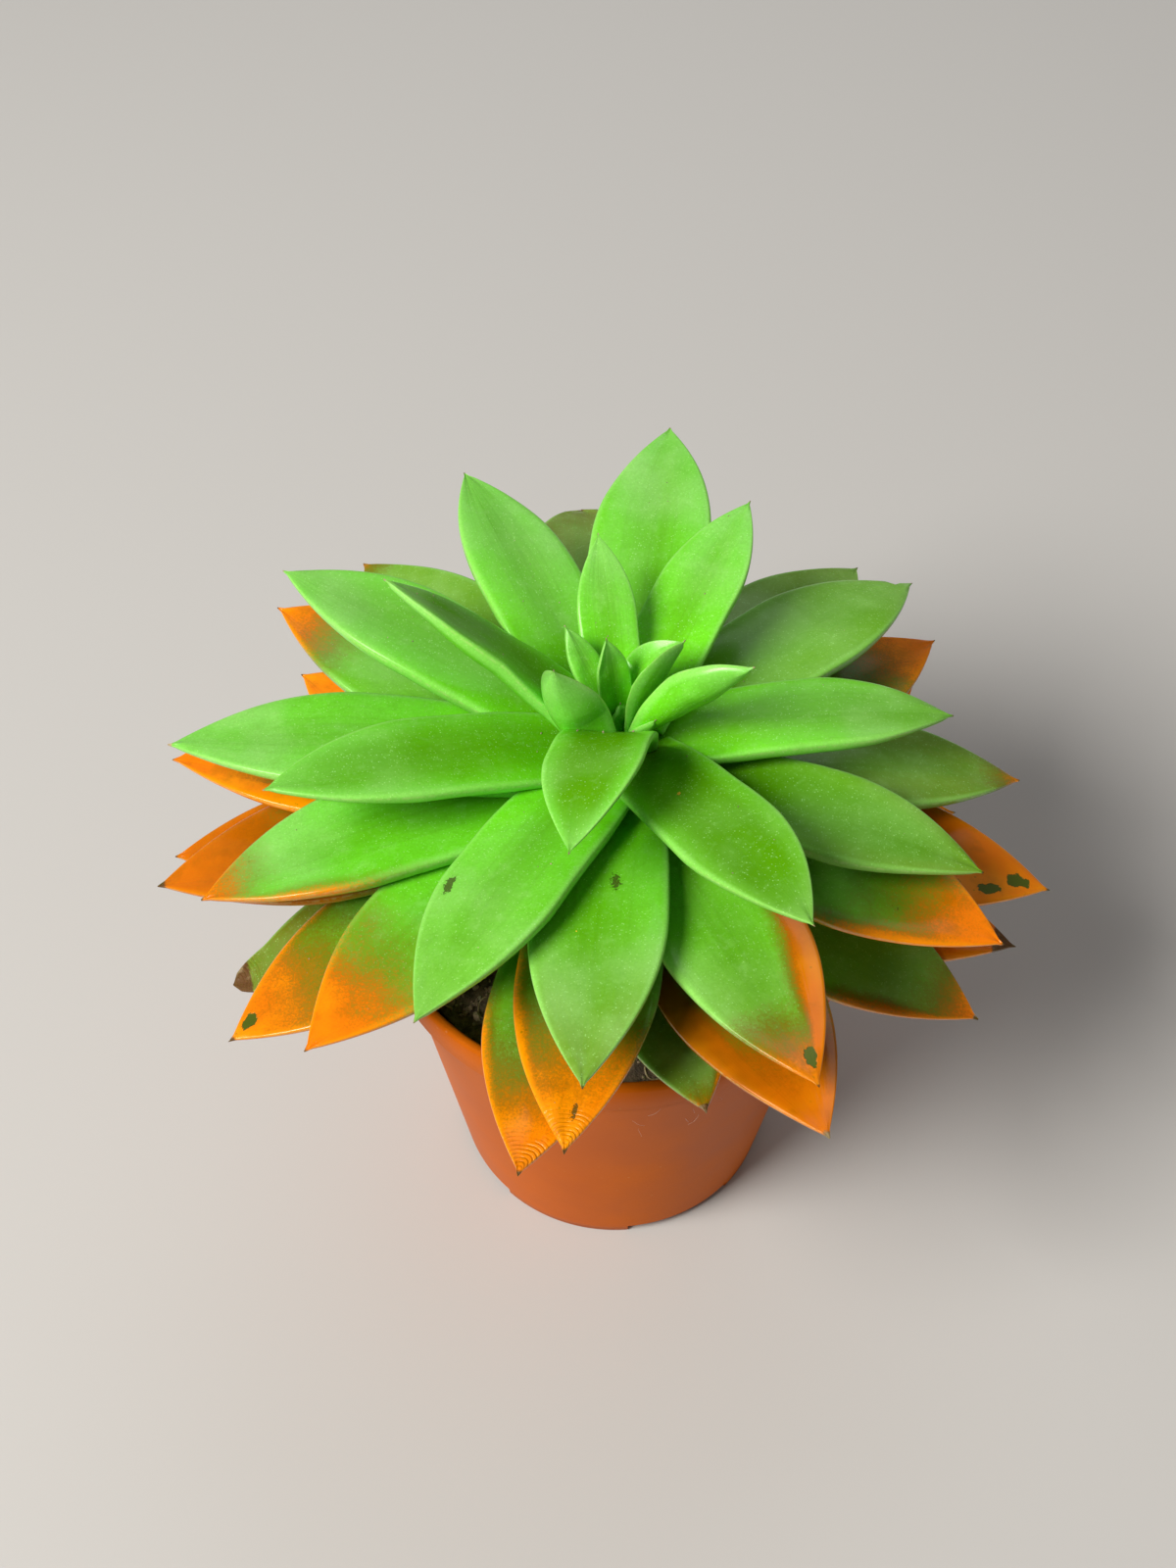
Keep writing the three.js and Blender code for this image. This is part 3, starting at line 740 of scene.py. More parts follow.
def traitsAt(age, leaf, along, across, above, wide):
    # what the skin's look reads at a point, by name
    form = skinForm
    length = leafLength(age, leaf)
    spike = form["spikeLength"] / length
    driedFrom = 1 - leaf.get("dry", 0) - form["spikeDried"] * spike
    scars, flakes = (leaf.get(kind, []) if above > 0 else [] for kind in ("scars", "flakes"))
    return {
        "dye": dyeAt(leaf, along, across),
        "deep": leaf.get("deep", 0) * (form["deepFade"] - along),
        "dry": clamp(0.5 + (along - driedFrom) / (0.5 * spike + form["dryBlur"])),
        "scar": markAt(scars, along, across, length, wide, form["scarWidth"]),
        "flake": markAt(flakes, along, across, length, wide, form["flakeWidth"]),
        "dull": leaf.get("dull", 0) + leaf.get("fade", 0) * ease(along, *form["fadeSpan"]),
        "shade": leaf.get("shade", 0),
        "rings": leaf.get("rings", 0) * ease(along, *form["ringSpan"]),
        "upper": ease(above, *form["upperSpan"]),
    }


def buildLeaf(age, leaf):
    # a ball drawn out into a leaf: its poles become root and tip
    rows = rosette["rows"]
    spine = leafSpine(age, leaf)
    bm = bmesh.new()
    bmesh.ops.create_uvsphere(bm, u_segments=rosette["around"], v_segments=rows, radius=1)
    layers = {name: bm.verts.layers.float.new(name) for name in leafTraits}
    mapLayer = bm.loops.layers.uv.new("leafMap")
    mapPlace = {}
    for vert in bm.verts:
        row = round(math.acos(clamp(-vert.co.z, -1, 1)) / math.pi * rows)
        pole = row in (0, rows)
        angle = math.atan2(vert.co.y, vert.co.x)
        across = 0 if pole else blunted(math.cos(angle))
        above = 0 if pole else blunted(math.sin(angle))
        step = clamp((row - 1) / (rows - 2))
        along = clamp(step + rosette["rowCrowding"] * math.sin(2 * math.pi * step) * step)
        vert.co, wide = leafPoint(age, leaf, spine, along, across, above)
        mapPlace[vert] = (0.5 + 0.5 * across, along)
        for name, value in traitsAt(age, leaf, along, across, above, wide).items():
            vert[layers[name]] = value
    for face in bm.faces:
        face.smooth = True
        for loop in face.loops:
            loop[mapLayer].uv = mapPlace[loop.vert]
    bmesh.ops.recalc_face_normals(bm, faces=bm.faces)
    return bm


greenLeaf = leafMaterial("greenLeaf")
dyedLeaf = leafMaterial("dyedLeaf")
dyedLeaves = 27  # the lowest ones
for age, leaf in enumerate(leaves):
    number = len(leaves) - age
    skin, slot = (dyedLeaf, "dyed_leaf") if number <= dyedLeaves else (greenLeaf, "green_leaf")
    makePiece(f"leafSkin_{number:02d}", buildLeaf(age, leaf), skin, [f"leaf_{number:02d}"])

# the youngest leaves of all, too small for solids of their own, that close the heart
budAge = -0.3
buds = [
    {"turn": 118, "lift": -4, "stretch": -7, "broad": 1.7, "cup": 0.3, "out": -2.4, "down": 1.5},
    {"turn": -35, "lift": -28, "stretch": -5, "broad": 1.6, "cup": 0.4, "out": 1.0, "down": 1.5},
    {"turn": -90, "lift": -40, "stretch": -6, "broad": 1.8, "cup": 0.4, "out": 1.0, "down": 1.5},
]
for number, bud in enumerate(buds, 1):
    makePiece(f"heartBud_{number}", buildLeaf(budAge, bud), greenLeaf)
print("leaves grown:", len(leaves) + len(buds))


potForm = {
    "height": 82,
    "footRadius": 32.5,
    "rimRadius": 46,
    "bandHeight": 9.5,
    "bandProud": 1.9,
    "bandFillet": (0.15, 1.0),  # out from the wall, and down it
    "bandUnderside": [(1.0, 0.45), (0.62, 1.1)],  # points as (in from the rim's radius, up)
    "bandThickening": 0.4,
    "rimRounding": [  # the same, down from the top
        (0.3, 4), (0.02, 1.1), (0.2, 0.35), (0.6, 0.02), (1.45, 0.02), (1.95, 0.4),
    ],
    "wall": 1.7,
    "midWall": 30,
    "floorThickness": 1.8,
    "floorCorner": (1.5, 2),  # in from the wall, and up it
    "footHeight": 2.6,
    "footWidth": 3.4,
    "footRounding": 0.35,  # inside
    "footEdge": 0.5,  # outside
    "footSwell": 0.05,
    "footShoulder": 0.4,
    "footMargin": 3,
    "centreFoot": 9,
    "centreFootLift": 0.25,
    "centreFootRounding": (0.5, 0.45),
    "cutouts": 4,
    "cutoutSpan": 42,
    "firstCutout": -64,
    "drainHoles": 6,
    "drainRadius": 2.6,
    "drainRing": 20,
    "sides": 180,
    "fewSides": 48,
    "overrun": 1,  # how far a cutter runs past what it cuts
}
potLook = {
    "lightBrown": (0.64, 0.136, 0.003),
    "darkBrown": (0.52, 0.102, 0.002),
    "scuff": (0.60, 0.16, 0.012),
    "dust": (0.66, 0.38, 0.18),
    "cloud": (24, 4, 0.55),
    "grain": (1900, 2, 0.6),
    "scuffs": (1, 5, 0.65),
    "scuffStretch": (50, 50, 420),
    "layers": [
        ("cloud", 0.35, 0.7, 0, 1, "lightBrown"),
        ("scuffs", 0.60, 0.85, 0, 0.05, "scuff"),
        ("grain", 0.36, 0.64, 0.22, 0, "darkBrown"),
    ],
    "dustDots": (420, 0.15),
    "dustCloud": (45, 3, 0.6),
    "dustSpread": (0.5, 0.7),
    "dustShare": 0.45,
    "roughness": (0.4, 0.75, 0.38, 0.48),  # following the cloud
    "dustRoughness": 0.3,
    "sockets": {"Specular IOR Level": 0.06, "Specular Tint": (1.0, 0.45, 0.20, 1)},
    "relief": {"grain": 0.5, "cloud": 2.0},
    "skinDepth": 0.00004,
    "skinRelief": 0.6,
}
nearAxis = 0.02  # radius at which a turned profile starts and ends
onAxis = 0.05  # within this radius a turned point is drawn in to the axis
samePoint = 0.002


def wallRadius(z):
    top = potForm["rimRadius"] - potForm["bandProud"]
    return blend(potForm["footRadius"], top, z / potForm["height"])


def potMaterial():
    look = potLook
    material, tree, shader = startMaterial("terracottaPlastic")
    place = objectPlace(tree)
    cloud = cloudy(tree, place, *look["cloud"])
    grain = cloudy(tree, place, *look["grain"])
    scuffs = cloudy(tree, stretched(tree, place, look["scuffStretch"]), *look["scuffs"])
    sources = {"cloud": cloud, "grain": grain, "scuffs": scuffs}
    colour = layered(tree, look["darkBrown"], sources, look, "layers")
    dust = ranged(tree, cloudy(tree, place, *look["dustCloud"]), *look["dustSpread"])
    dust = times(tree, dotted(tree, place, *look["dustDots"]), dust)
    colour = mixed(tree, times(tree, dust, look["dustShare"]), colour, look["dust"])
    feed(tree, shader.inputs["Base Color"], colour)
    rough = plus(tree, ranged(tree, cloud, *look["roughness"]), times(tree, dust, look["dustRoughness"]))
    feed(tree, shader.inputs["Roughness"], rough)
    setSockets(shader, look["sockets"])
    bumped(tree, shader, raised(tree, 0.0, sources, look["relief"]), look["skinDepth"], look["skinRelief"])
    return material


def turned(profile, steps, sweep=360.0):
    # a profile of (radius, height) points spun round the upright axis, with its poles closed
    full = sweep == 360.0
    bm = bmesh.new()
    verts = [bm.verts.new((r * mm, 0, z * mm)) for r, z in profile]
    pairs = list(zip(verts, verts[1:]))
    if not full:
        pairs.append((verts[-1], verts[0]))
    edges = [bm.edges.new(pair) for pair in pairs]
    bmesh.ops.spin(bm, geom=verts + edges, cent=(0, 0, 0), axis=(0, 0, 1), angle=math.radians(sweep),
                   steps=steps, use_merge=full)
    for vert in bm.verts:
        if vert.co.xy.length < onAxis * mm:
            vert.co.x = vert.co.y = 0
    bmesh.ops.remove_doubles(bm, verts=bm.verts, dist=samePoint * mm)
    if not full:
        bmesh.ops.holes_fill(bm, edges=[edge for edge in bm.edges if edge.is_boundary], sides=0)
    bmesh.ops.recalc_face_normals(bm, faces=bm.faces)
    return bm


def cutAway(bm, cutters):
    # takes the cutters' space out of a shape
    bodies = []
    for name, source in (("blank", bm), ("cutters", cutters)):
        mesh = bpy.data.meshes.new(name)
        source.to_mesh(mesh)
        source.free()
        bodies.append(bpy.data.objects.new(name, mesh))
        bpy.context.scene.collection.objects.link(bodies[-1])
    blank, cutter = bodies
    cut = blank.modifiers.new("cut", "BOOLEAN")
    cut.operation = "DIFFERENCE"
    cut.solver = "EXACT"
    cut.object = cutter
    bpy.context.view_layer.update()
    result = bmesh.new()
    result.from_object(blank, bpy.context.evaluated_depsgraph_get())
    for body in bodies:
        mesh = body.data
        bpy.data.objects.remove(body)
        bpy.data.meshes.remove(mesh)
    return result


def potCutters():
    # four wedges through the ring foot and six drain holes through the floor
    form = potForm
    overrun = form["overrun"]
    inner = form["footRadius"] - form["footWidth"] - overrun
    outer = form["footRadius"] + 2 * overrun
    wedge = [(inner, -overrun), (outer, -overrun), (outer, form["footHeight"]), (inner, form["footHeight"])]
    cutters = bmesh.new()
    for i in range(form["cutouts"]):
        piece = turned(wedge, form["fewSides"], form["cutoutSpan"])
        middle = form["firstCutout"] + i * 360 / form["cutouts"]
        spot = Matrix.Rotation(math.radians(middle - form["cutoutSpan"] / 2), 4, "Z")
        bmesh.ops.transform(piece, matrix=spot, verts=piece.verts)
        mesh = bpy.data.meshes.new("wedge")
        piece.to_mesh(mesh)
        piece.free()
        cutters.from_mesh(mesh)
        bpy.data.meshes.remove(mesh)
    for i in range(form["drainHoles"]):
        angle = i * 2 * math.pi / form["drainHoles"]
        radius = form["drainRadius"] * mm
        depth = (form["floorThickness"] + 2 * overrun) * mm
        middle = form["footHeight"] + form["floorThickness"] / 2
        ring = form["drainRing"]
        spot = Matrix.Translation(Vector((ring * math.cos(angle), ring * math.sin(angle), middle)) * mm)
        bmesh.ops.create_cone(cutters, cap_ends=True, segments=form["fewSides"], radius1=radius,
                              radius2=radius, depth=depth, matrix=spot)
    return cutters


def buildPot():
    form = potForm
    top, rim, wall, foot = form["height"], form["rimRadius"], form["wall"], form["footRadius"]
    floorBottom = form["footHeight"]
    floorTop = floorBottom + form["floorThickness"]
    bandBottom = top - form["bandHeight"]
    footInner = foot - form["footWidth"]
    centre, lift = form["centreFoot"], form["centreFootLift"]
    centreIn, centreUp = form["centreFootRounding"]
    rounding, edge = form["footRounding"], form["footEdge"]
    shoulder = floorBottom + form["footShoulder"]
    filletOut, filletDown = form["bandFillet"]
    cornerIn, cornerUp = form["floorCorner"]
    profile = [
        (nearAxis, lift), (centre - centreIn, lift), (centre, lift + centreUp), (centre, floorBottom),
        (footInner - form["footMargin"], floorBottom), (footInner, floorBottom),
        (footInner, rounding), (footInner + rounding, 0), (foot - edge, 0), (foot + form["footSwell"], edge),
        (wallRadius(shoulder), shoulder), (wallRadius(form["midWall"]), form["midWall"]),
        (wallRadius(bandBottom - filletDown), bandBottom - filletDown),
        (wallRadius(bandBottom) + filletOut, bandBottom - filletOut),
    ]
    profile += [(rim - inwards, bandBottom + up) for inwards, up in form["bandUnderside"]]
    profile += [(rim - inwards, top - down) for inwards, down in form["rimRounding"]]
    profile += [
        (wallRadius(bandBottom) - wall + form["bandThickening"], bandBottom),
        (wallRadius(form["midWall"]) - wall, form["midWall"]),
        (wallRadius(floorTop + cornerUp) - wall, floorTop + cornerUp),
        (wallRadius(floorTop) - wall - cornerIn, floorTop), (centre, floorTop), (nearAxis, floorTop),
    ]
    bm = cutAway(turned(profile, form["sides"]), potCutters())
    smoothFaces(bm)
    return bm


makePiece("nurseryPot", buildPot(), potMaterial(), ["pot"])
print("pot turned")


soilForm = {
    "top": 74,
    "crown": 5,  # how much higher the soil is round the stem
    "lump": 0.7,
    "lumpWaves": {  # radians a mm
        "broadX": 0.55, "broadShift": 0.8, "broadY": 0.47, "slantX": 0.31, "slantY": 0.62, "slantShift": 2,
    },
    "stemHole": 6.9,
    "holeFloor": 36,
    "floorGap": 2.3,
    "wallGap": 0.3,
    "bedGap": 0.35,
    "footGap": 0.5,
    "rings": 26,
    "sides": 120,
    "crumbs": [(0.8, 0.8, 0), (0.4, 2, 5)],  # fine lumps as (height, waves a mm, where in the noise)
    "calmEdge": 2,  # from the wall inwards, where they grow
    "grains": 1900,
    "grainSeed": 7,
    "grainSizes": (0.35, 0.5, 0.5, 0.7, 0.9, 1.3),
    "paleGrains": 260,
    "paleSeed": 11,
    "paleSizes": (0.3, 0.4, 0.6, 0.8),
    "grainGap": 1.6,
    "grainReach": (0.05, 1),  # of the soil's area, from the stem out
    "grainLift": 0.25,  # of its size
    "grainTurn": 6,  # radians
    "grainBreadth": (0.5, 0.9),  # of its length
    "grainThickness": (0.4, 0.8),
    "grainDents": (0.14, 3),  # depth as a part of its size, and waves a mm
    "dentSeed": 5,
    "fibres": 130,
    "fibreSeed": 23,
    "fibreThickness": 0.14,
    "fibreGap": 1.5,
    "fibreReach": (0.2, 1),
    "fibreCurl": 0.9,  # radians a step, either way
    "fibreStep": (0.8, 2.0),
    "fibreArch": (0.2, 0.8),
    "fibreSink": 0.3,
    "fibreSteps": 4,
}
soilLook = {
    # the bed and the crumbs are paler than the soil's own colour: painted light, standing in for the light
    # that the leaves keep from the soil
    "bed": ((0.055, 0.037, 0.023), (0.21, 0.145, 0.088)),  # dark and pale
    "crumb": ((0.20, 0.14, 0.085), (0.60, 0.45, 0.30)),
    "grit": ((0.55, 0.47, 0.34), (0.34, 0.26, 0.16)),
    "fibre": ((0.62, 0.48, 0.28), (0.34, 0.24, 0.12)),
    "chip": (0.16, 0.11, 0.07),
    "clods": (350, 5, 0.7),
    "grains": (1500, 3, 0.7),
    "paleness": (0.35, 0.7),
    "chips": (0.6, 0.75, 0, 0.5),
    "roughness": 0.92,
    "gritRoughness": 0.8,
    "depth": 0.0006,
    "relief": 0.9,
}
plainLook = {"cloud": (700, 3, 0.6), "spread": (0.35, 0.65), "depth": 0.0001, "relief": 0.5}


def soilMaterial(name, dark, pale):
    look = soilLook
    material, tree, shader = startMaterial(name)
    place = objectPlace(tree)
    clods = cloudy(tree, place, *look["clods"])
    grains = cloudy(tree, place, *look["grains"])
    colour = mixed(tree, ranged(tree, clods, *look["paleness"]), dark, pale)
    colour = mixed(tree, ranged(tree, grains, *look["chips"]), colour, look["chip"])
    feed(tree, shader.inputs["Base Color"], colour)
    shader.inputs["Roughness"].default_value = look["roughness"]
    bumped(tree, shader, plus(tree, clods, grains), look["depth"], look["relief"])
    return material


def plainMaterial(name, first, second, roughness):
    look = plainLook
    material, tree, shader = startMaterial(name)
    shade = cloudy(tree, objectPlace(tree), *look["cloud"])
    feed(tree, shader.inputs["Base Color"], mixed(tree, ranged(tree, shade, *look["spread"]), first, second))
    shader.inputs["Roughness"].default_value = roughness
    bumped(tree, shader, shade, look["depth"], look["relief"])
    return material


def soilEdge(gap):
    return wallRadius(soilForm["top"]) - potForm["wall"] - gap


def soilHeight(x, y):
    form, waves = soilForm, soilForm["lumpWaves"]
    out = math.hypot(x, y) / soilEdge(form["wallGap"])
    broad = math.sin(waves["broadX"] * x + waves["broadShift"]) * math.cos(waves["broadY"] * y)
    lumps = broad + math.sin(waves["slantX"] * x - waves["slantY"] * y + waves["slantShift"])
    return form["top"] + form["crown"] * (1 - out ** 2) + form["lump"] * lumps * (1 - out ** 4)


def buildSoil():
    form = soilForm
    edge = soilEdge(form["bedGap"])
    bottom = potForm["footHeight"] + potForm["floorThickness"] + form["floorGap"]
    hole, rings, top = form["stemHole"], form["rings"], form["top"]
    profile = [(nearAxis, bottom), (wallRadius(bottom) - potForm["wall"] - form["footGap"], bottom)]
    profile += [(blend(edge, hole, i / rings), top) for i in range(rings + 1)]
    profile += [(hole, form["holeFloor"]), (nearAxis, form["holeFloor"])]
    bm = turned(profile, form["sides"])
    for vert in bm.verts:
        if abs(vert.co.z / mm - top) < samePoint:
            x, y = vert.co.x / mm, vert.co.y / mm
            crumbs = 0
            for height, rate, level in form["crumbs"]:
                crumbs += height * noise.noise(Vector((x, y, level)) * rate)
            vert.co.z = (soilHeight(x, y) + crumbs * ease(edge - math.hypot(x, y), 0, form["calmEdge"])) * mm
    smoothFaces(bm)
    return bm


noise.seed_set(soilForm["dentSeed"])


def scatterGrain(bm, draw, point, size):
    # one small uneven grain, its middle at a point in mm
    form = soilForm
    turns = [draw.uniform(0, form["grainTurn"]) for _ in range(3)]
    breadth, thickness = draw.uniform(*form["grainBreadth"]), draw.uniform(*form["grainThickness"])
    place = Matrix.Translation(point * mm) @ Euler(turns).to_matrix().to_4x4()
    place @= Matrix.Diagonal((size * mm, size * breadth * mm, size * thickness * mm, 1))
    made = bmesh.ops.create_icosphere(bm, subdivisions=1, radius=1, matrix=place)
    dent, rate = form["grainDents"]
    for vert in made["verts"]:
        vert.co += noise.noise_vector(vert.co / mm * rate) * dent * size * mm


def spotOnSoil(draw, reach, edge):
    angle, out = draw.uniform(0, 2 * math.pi), math.sqrt(draw.uniform(*reach)) * edge
    return out * math.cos(angle), out * math.sin(angle)


def buildGrains(seed, count, sizes):
    draw = random.Random(seed)
    bm = bmesh.new()
    edge = soilEdge(soilForm["grainGap"])
    for _ in range(count):
        x, y = spotOnSoil(draw, soilForm["grainReach"], edge)
        size = draw.choice(sizes)
        scatterGrain(bm, draw, Vector((x, y, soilHeight(x, y) + size * soilForm["grainLift"])), size)
    return bm


def strands(name, paths, thickness):
    # thin round threads along paths of points in mm, as one mesh
    threads = bpy.data.curves.new(name, "CURVE")
    threads.dimensions = "3D"
    threads.bevel_depth = thickness * mm
    threads.bevel_resolution = 1
    threads.resolution_u = 4
    threads.use_fill_caps = True
    for path in paths:
        spline = threads.splines.new("BEZIER")
        spline.bezier_points.add(len(path) - 1)
        for knot, point in zip(spline.bezier_points, path):
            knot.co = point * mm
            knot.handle_left_type = knot.handle_right_type = "AUTO"
    carrier = bpy.data.objects.new(name, threads)
    bpy.context.scene.collection.objects.link(carrier)
    bpy.context.view_layer.update()
    mesh = bpy.data.meshes.new_from_object(carrier.evaluated_get(bpy.context.evaluated_depsgraph_get()))
    bm = bmesh.new()
    bm.from_mesh(mesh)
    bpy.data.objects.remove(carrier)
    bpy.data.curves.remove(threads)
    bpy.data.meshes.remove(mesh)
    for face in bm.faces:
        face.smooth = True
    return bm


def rootFibres():
    # pale old roots that arch out of the soil and back
    form = soilForm
    draw = random.Random(form["fibreSeed"])
    edge, steps = soilEdge(form["fibreGap"]), form["fibreSteps"]
    paths = []
    for _ in range(form["fibres"]):
        x, y = spotOnSoil(draw, form["fibreReach"], edge)
        heading, curl = draw.uniform(0, 2 * math.pi), draw.uniform(-form["fibreCurl"], form["fibreCurl"])
        step, arch = draw.uniform(*form["fibreStep"]), draw.uniform(*form["fibreArch"])
        path = []
        for i in range(steps + 1):
            reach = math.hypot(x, y)
            if reach > edge:
                x, y = x * edge / reach, y * edge / reach
            rise = arch * math.sin(math.pi * i / steps) - form["fibreSink"]
            path.append(Vector((x, y, soilHeight(x, y) + rise)))
            x += step * math.cos(heading)
            y += step * math.sin(heading)
            heading += curl
        paths.append(path)
    return paths


darkSoil = soilMaterial("pottingSoil", *soilLook["bed"])
makePiece("soilBed", buildSoil(), darkSoil, ["soil"])
crumbSoil = soilMaterial("soilCrumbs", *soilLook["crumb"])
grains = buildGrains(soilForm["grainSeed"], soilForm["grains"], soilForm["grainSizes"])
makePiece("soilGrains", grains, crumbSoil)
paleSoil = plainMaterial("paleGrit", *soilLook["grit"], soilLook["gritRoughness"])
grit = buildGrains(soilForm["paleSeed"], soilForm["paleGrains"], soilForm["paleSizes"])
makePiece("soilGrit", grit, paleSoil)
fibreSkin = plainMaterial("rootFibre", *soilLook["fibre"], soilLook["gritRoughness"])
makePiece("rootFibres", strands("rootFibres", rootFibres(), soilForm["fibreThickness"]), fibreSkin)


stemForm = {
    "rootEnd": 38,
    "rootPoint": 0.5,  # radius of its lower end, of the full radius
    "firstRing": 46,
    "ringStep": 1.6,
    "bareUpTo": 112,
    "scarDepth": 0.22,
    "taper": 14,
    "taperDrop": 1,
    "taperPower": 0.6,
    "topDrop": 2,
    "thinnest": 0.3,
    "sides": 40,
    "dark": (0.20, 0.14, 0.06),
    "pale": (0.33, 0.30, 0.13),
    "bark": (1, 4, 0.65),
    "barkStretch": (300, 300, 900),
    "paleness": (0.35, 0.7),
    "roughness": 0.75,
    "depth": 0.0004,
    "relief": 0.8,
}


def stemMaterial():
    look = stemForm
    material, tree, shader = startMaterial("stemBark")
    bark = cloudy(tree, stretched(tree, objectPlace(tree), look["barkStretch"]), *look["bark"])
    colour = mixed(tree, ranged(tree, bark, *look["paleness"]), look["dark"], look["pale"])
    feed(tree, shader.inputs["Base Color"], colour)
    shader.inputs["Roughness"].default_value = look["roughness"]
    bumped(tree, shader, bark, look["depth"], look["relief"])
    return material


def buildStem():
    form = stemForm
    radius, growing = rosette["stemRadius"], rosette["growingPoint"]
    top = growing - form["topDrop"]
    profile = [(nearAxis, form["rootEnd"]), (radius * form["rootPoint"], form["rootEnd"])]
    z, ring = form["firstRing"], 0
    while z <= top:
        taper = clamp((growing - form["taperDrop"] - z) / form["taper"]) ** form["taperPower"]
        scar = form["scarDepth"] * (ring % 2) if z < form["bareUpTo"] else 0
        profile.append((max(form["thinnest"], radius * taper - scar), z))
        z, ring = z + form["ringStep"], ring + 1
    profile.append((nearAxis, top))
    bm = turned(profile, form["sides"])
    smoothFaces(bm)
    return bm


makePiece("stemCore", buildStem(), stemMaterial(), ["stem"])
print("soil and stem in place")


# Small things on the plant and pot: crumbs of soil as (leaf's age, along, across, size), pollen, and hairs
litter = {
    "crumbs": [(5, 0.31, -0.62, 0.34), (5, 0.29, -0.10, 0.30), (5, 0.29, 0.52, 0.32), (10, 0.16, -0.35, 0.3),
               (17, 0.33, -0.35, 0.22), (23, 0.56, -0.1, 0.26), (28, 0.62, 0.3, 0.3)],
    "crumbSeed": 31,
    "scatter": 90,
    "scatterAges": (6, 34),
    "scatterAlong": (0.15, 0.92),
    "scatterAcross": (-0.8, 0.8),
    "scatterSizes": (0.10, 0.13, 0.16, 0.2),
    "pollen": [(9, 0.33, -0.12, 0.42), (34, 0.72, 0.05, 0.3), (17, 0.58, -0.3, 0.2)],
    "pollenSeed": 37,
    "pollenLook": ((0.85, 0.62, 0.02), (0.75, 0.45, 0.02), 0.6),  # two yellows and a roughness
    "hairs": 8,
    "hairSeed": 43,
    "hairLook": ((0.66, 0.52, 0.42), (0.58, 0.44, 0.34), 0.5),
    "hairThickness": 0.022,
    "hairRound": (-84, -58),  # degrees round the pot
    "hairHeights": (46, 66),
    "hairTurn": 0.016,  # radians a step, either way
    "hairRise": (0.6, 1.5),  # of its first step
    "hairSlowing": 0.75,  # of the rise, a step
    "hairStandoff": 0.08,
    "hairArch": 0.5,
    "hairSteps": 5,
}


def strewn(bm, draw, spots):
    bluntness = rosette["marginBluntness"]
    for age, along, across, size in spots:
        leaf = leaves[age]
        above = (1 - abs(across) ** (2 / bluntness)) ** (bluntness / 2)
        point, _ = leafPoint(age, leaf, leafSpine(age, leaf), along, across, above)
        scatterGrain(bm, draw, point / mm, size)
    return bm


def buildCrumbs():
    draw = random.Random(litter["crumbSeed"])
    spots = list(litter["crumbs"])
    for _ in range(litter["scatter"]):
        age = draw.randrange(*litter["scatterAges"])
        along, across = draw.uniform(*litter["scatterAlong"]), draw.uniform(*litter["scatterAcross"])
        spots.append((age, along, across, draw.choice(litter["scatterSizes"])))
    return strewn(bmesh.new(), draw, spots)


def potHairs():
    draw = random.Random(litter["hairSeed"])
    steps, mostTurn = litter["hairSteps"], litter["hairTurn"]
    paths = []
    for _ in range(litter["hairs"]):
        angle, z = math.radians(draw.uniform(*litter["hairRound"])), draw.uniform(*litter["hairHeights"])
        turnStep, rise = draw.uniform(-mostTurn, mostTurn), draw.uniform(*litter["hairRise"])
        path = []
        for i in range(steps + 1):
            arch = litter["hairArch"] * math.sin(math.pi * i / steps)
            radius = wallRadius(z) + litter["hairStandoff"] + arch
            path.append(Vector((radius * math.cos(angle), radius * math.sin(angle), z)))
            angle += turnStep
            z += rise
            rise *= litter["hairSlowing"]
        paths.append(path)
    return paths


makePiece("soilCrumbsOnLeaves", buildCrumbs(), crumbSoil)
yellow = plainMaterial("pollenYellow", *litter["pollenLook"])
pollen = strewn(bmesh.new(), random.Random(litter["pollenSeed"]), litter["pollen"])
makePiece("pollenSpecks", pollen, yellow)
hairWhite = plainMaterial("fineHair", *litter["hairLook"])
makePiece("potHairs", strands("potHairs", potHairs(), litter["hairThickness"]), hairWhite)
print("crumbs, pollen and hairs laid")


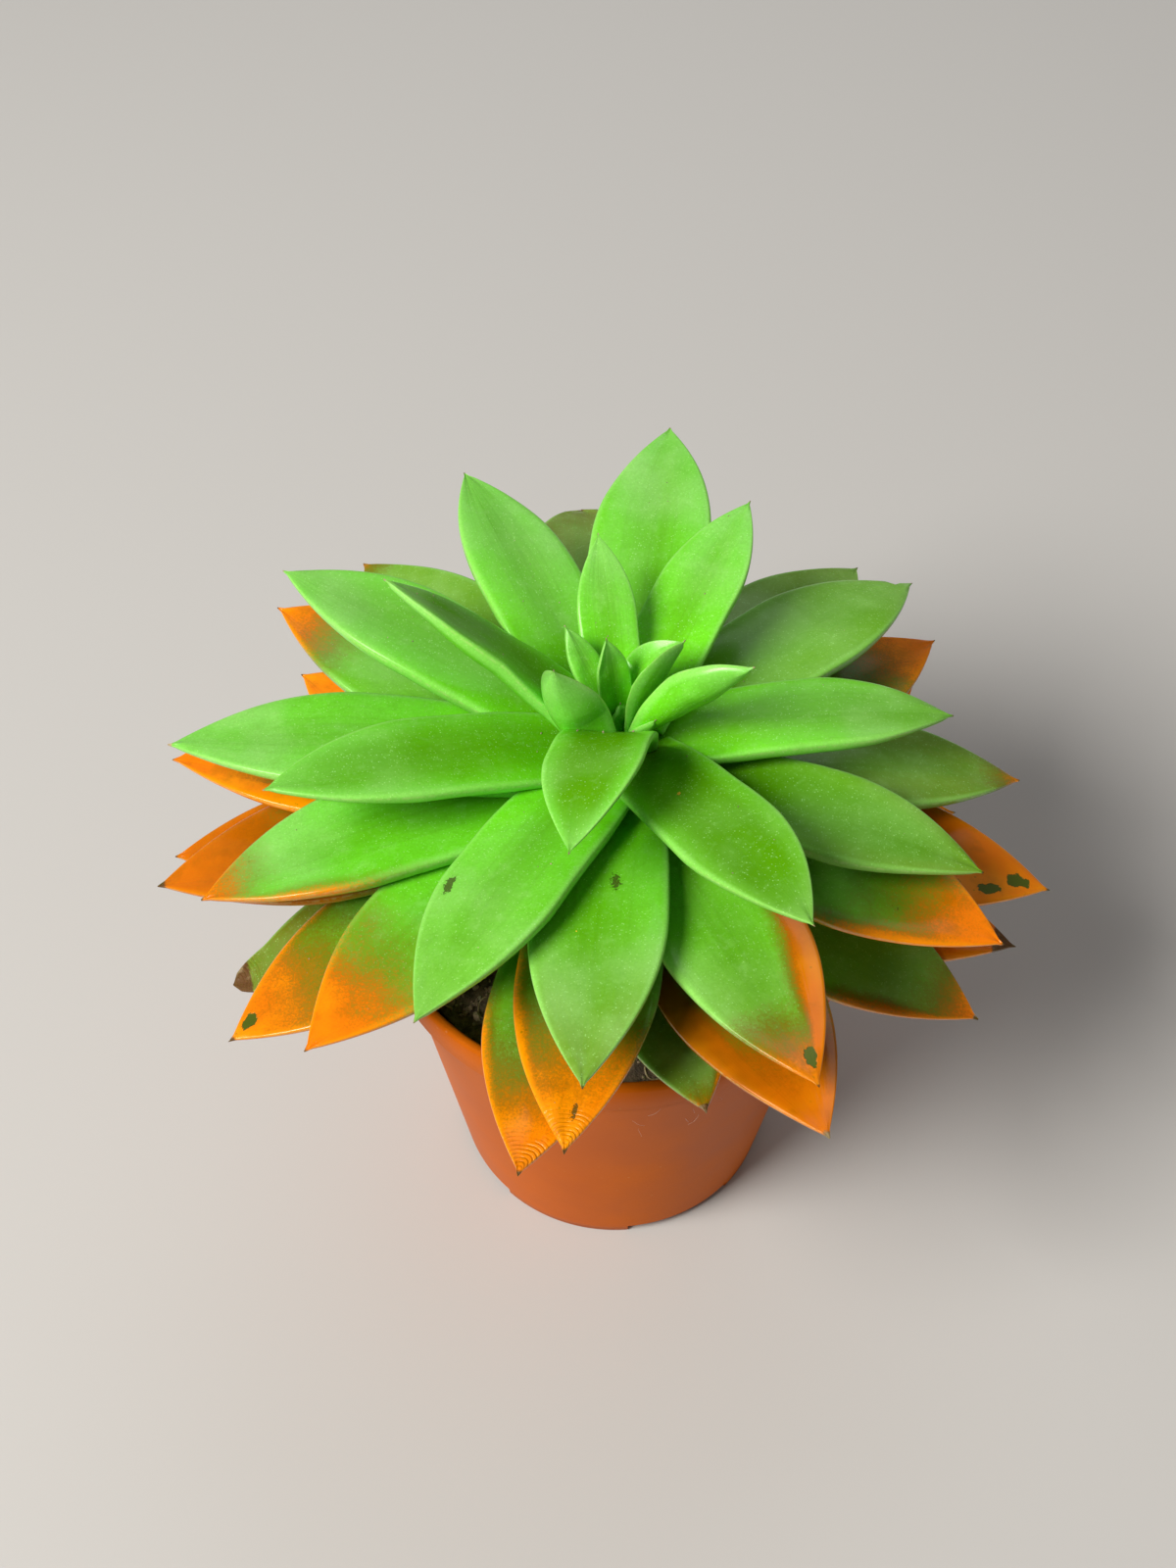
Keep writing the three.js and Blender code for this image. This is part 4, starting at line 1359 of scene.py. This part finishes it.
studio = {
    "floor": (0.52, 0.505, 0.485),
    "floorRadius": 4,  # metres, as are the other places and sizes here
    "floorSides": 96,
    "floorRoughness": 0.8,
    "worldColour": (1.0, 0.985, 0.95),
    "world": 0.18,
    "aim": (0, 0, 0.11),
    "keyWindow": {"place": (-0.90, -0.62, 1.25), "power": 35.0, "size": 0.75, "tint": (1.0, 0.98, 0.94)},
    "fillPanel": {"place": (0.15, 0.60, 0.85), "power": 1.6, "size": 0.7, "tint": (0.95, 0.97, 1.0)},
}
photoView = {
    "place": (-5.54, -229.96, 400.32),  # mm
    "tilt": 38.5,  # degrees up from looking straight down
    "lens": 47.25,
    "sensor": 36,
    "nearest": 10,  # mm
}


def softLight(name):
    light = studio[name]
    lamp = bpy.data.lights.new(name, "AREA")
    lamp.shape = "DISK"
    lamp.size = light["size"]
    lamp.energy = light["power"]
    lamp.color = light["tint"]
    lampObject = bpy.data.objects.new(name, lamp)
    lampObject.location = light["place"]
    aim = Vector(studio["aim"]) - Vector(light["place"])
    lampObject.rotation_euler = aim.to_track_quat("-Z", "Y").to_euler()
    bpy.context.scene.collection.objects.link(lampObject)


bm = bmesh.new()
bmesh.ops.create_circle(bm, cap_ends=True, segments=studio["floorSides"], radius=studio["floorRadius"])
floorMesh = bpy.data.meshes.new("paleFloor")
bm.to_mesh(floorMesh)
bm.free()
floor = bpy.data.objects.new("paleFloor", floorMesh)
bpy.context.scene.collection.objects.link(floor)
floorMaterial, floorTree, floorShader = startMaterial("palePaper")
feed(floorTree, floorShader.inputs["Base Color"], studio["floor"])
floorShader.inputs["Roughness"].default_value = studio["floorRoughness"]
floorMesh.materials.append(floorMaterial)

world = bpy.data.worlds.new("softStudio")
world.use_nodes = True
background = world.node_tree.nodes["Background"]
feed(world.node_tree, background.inputs["Color"], studio["worldColour"])
background.inputs["Strength"].default_value = studio["world"]
bpy.context.scene.world = world
softLight("keyWindow")
softLight("fillPanel")
bpy.context.scene.view_settings.view_transform = "Standard"

lens = bpy.data.cameras.new("photoView")
lens.lens = photoView["lens"]
lens.sensor_width = photoView["sensor"]
lens.clip_start = photoView["nearest"] * mm
camera = bpy.data.objects.new("photoView", lens)
camera.location = Vector(photoView["place"]) * mm
camera.rotation_euler = (math.radians(photoView["tilt"]), 0, 0)
bpy.context.scene.collection.objects.link(camera)
bpy.context.scene.camera = camera
print("floor, light and camera set")
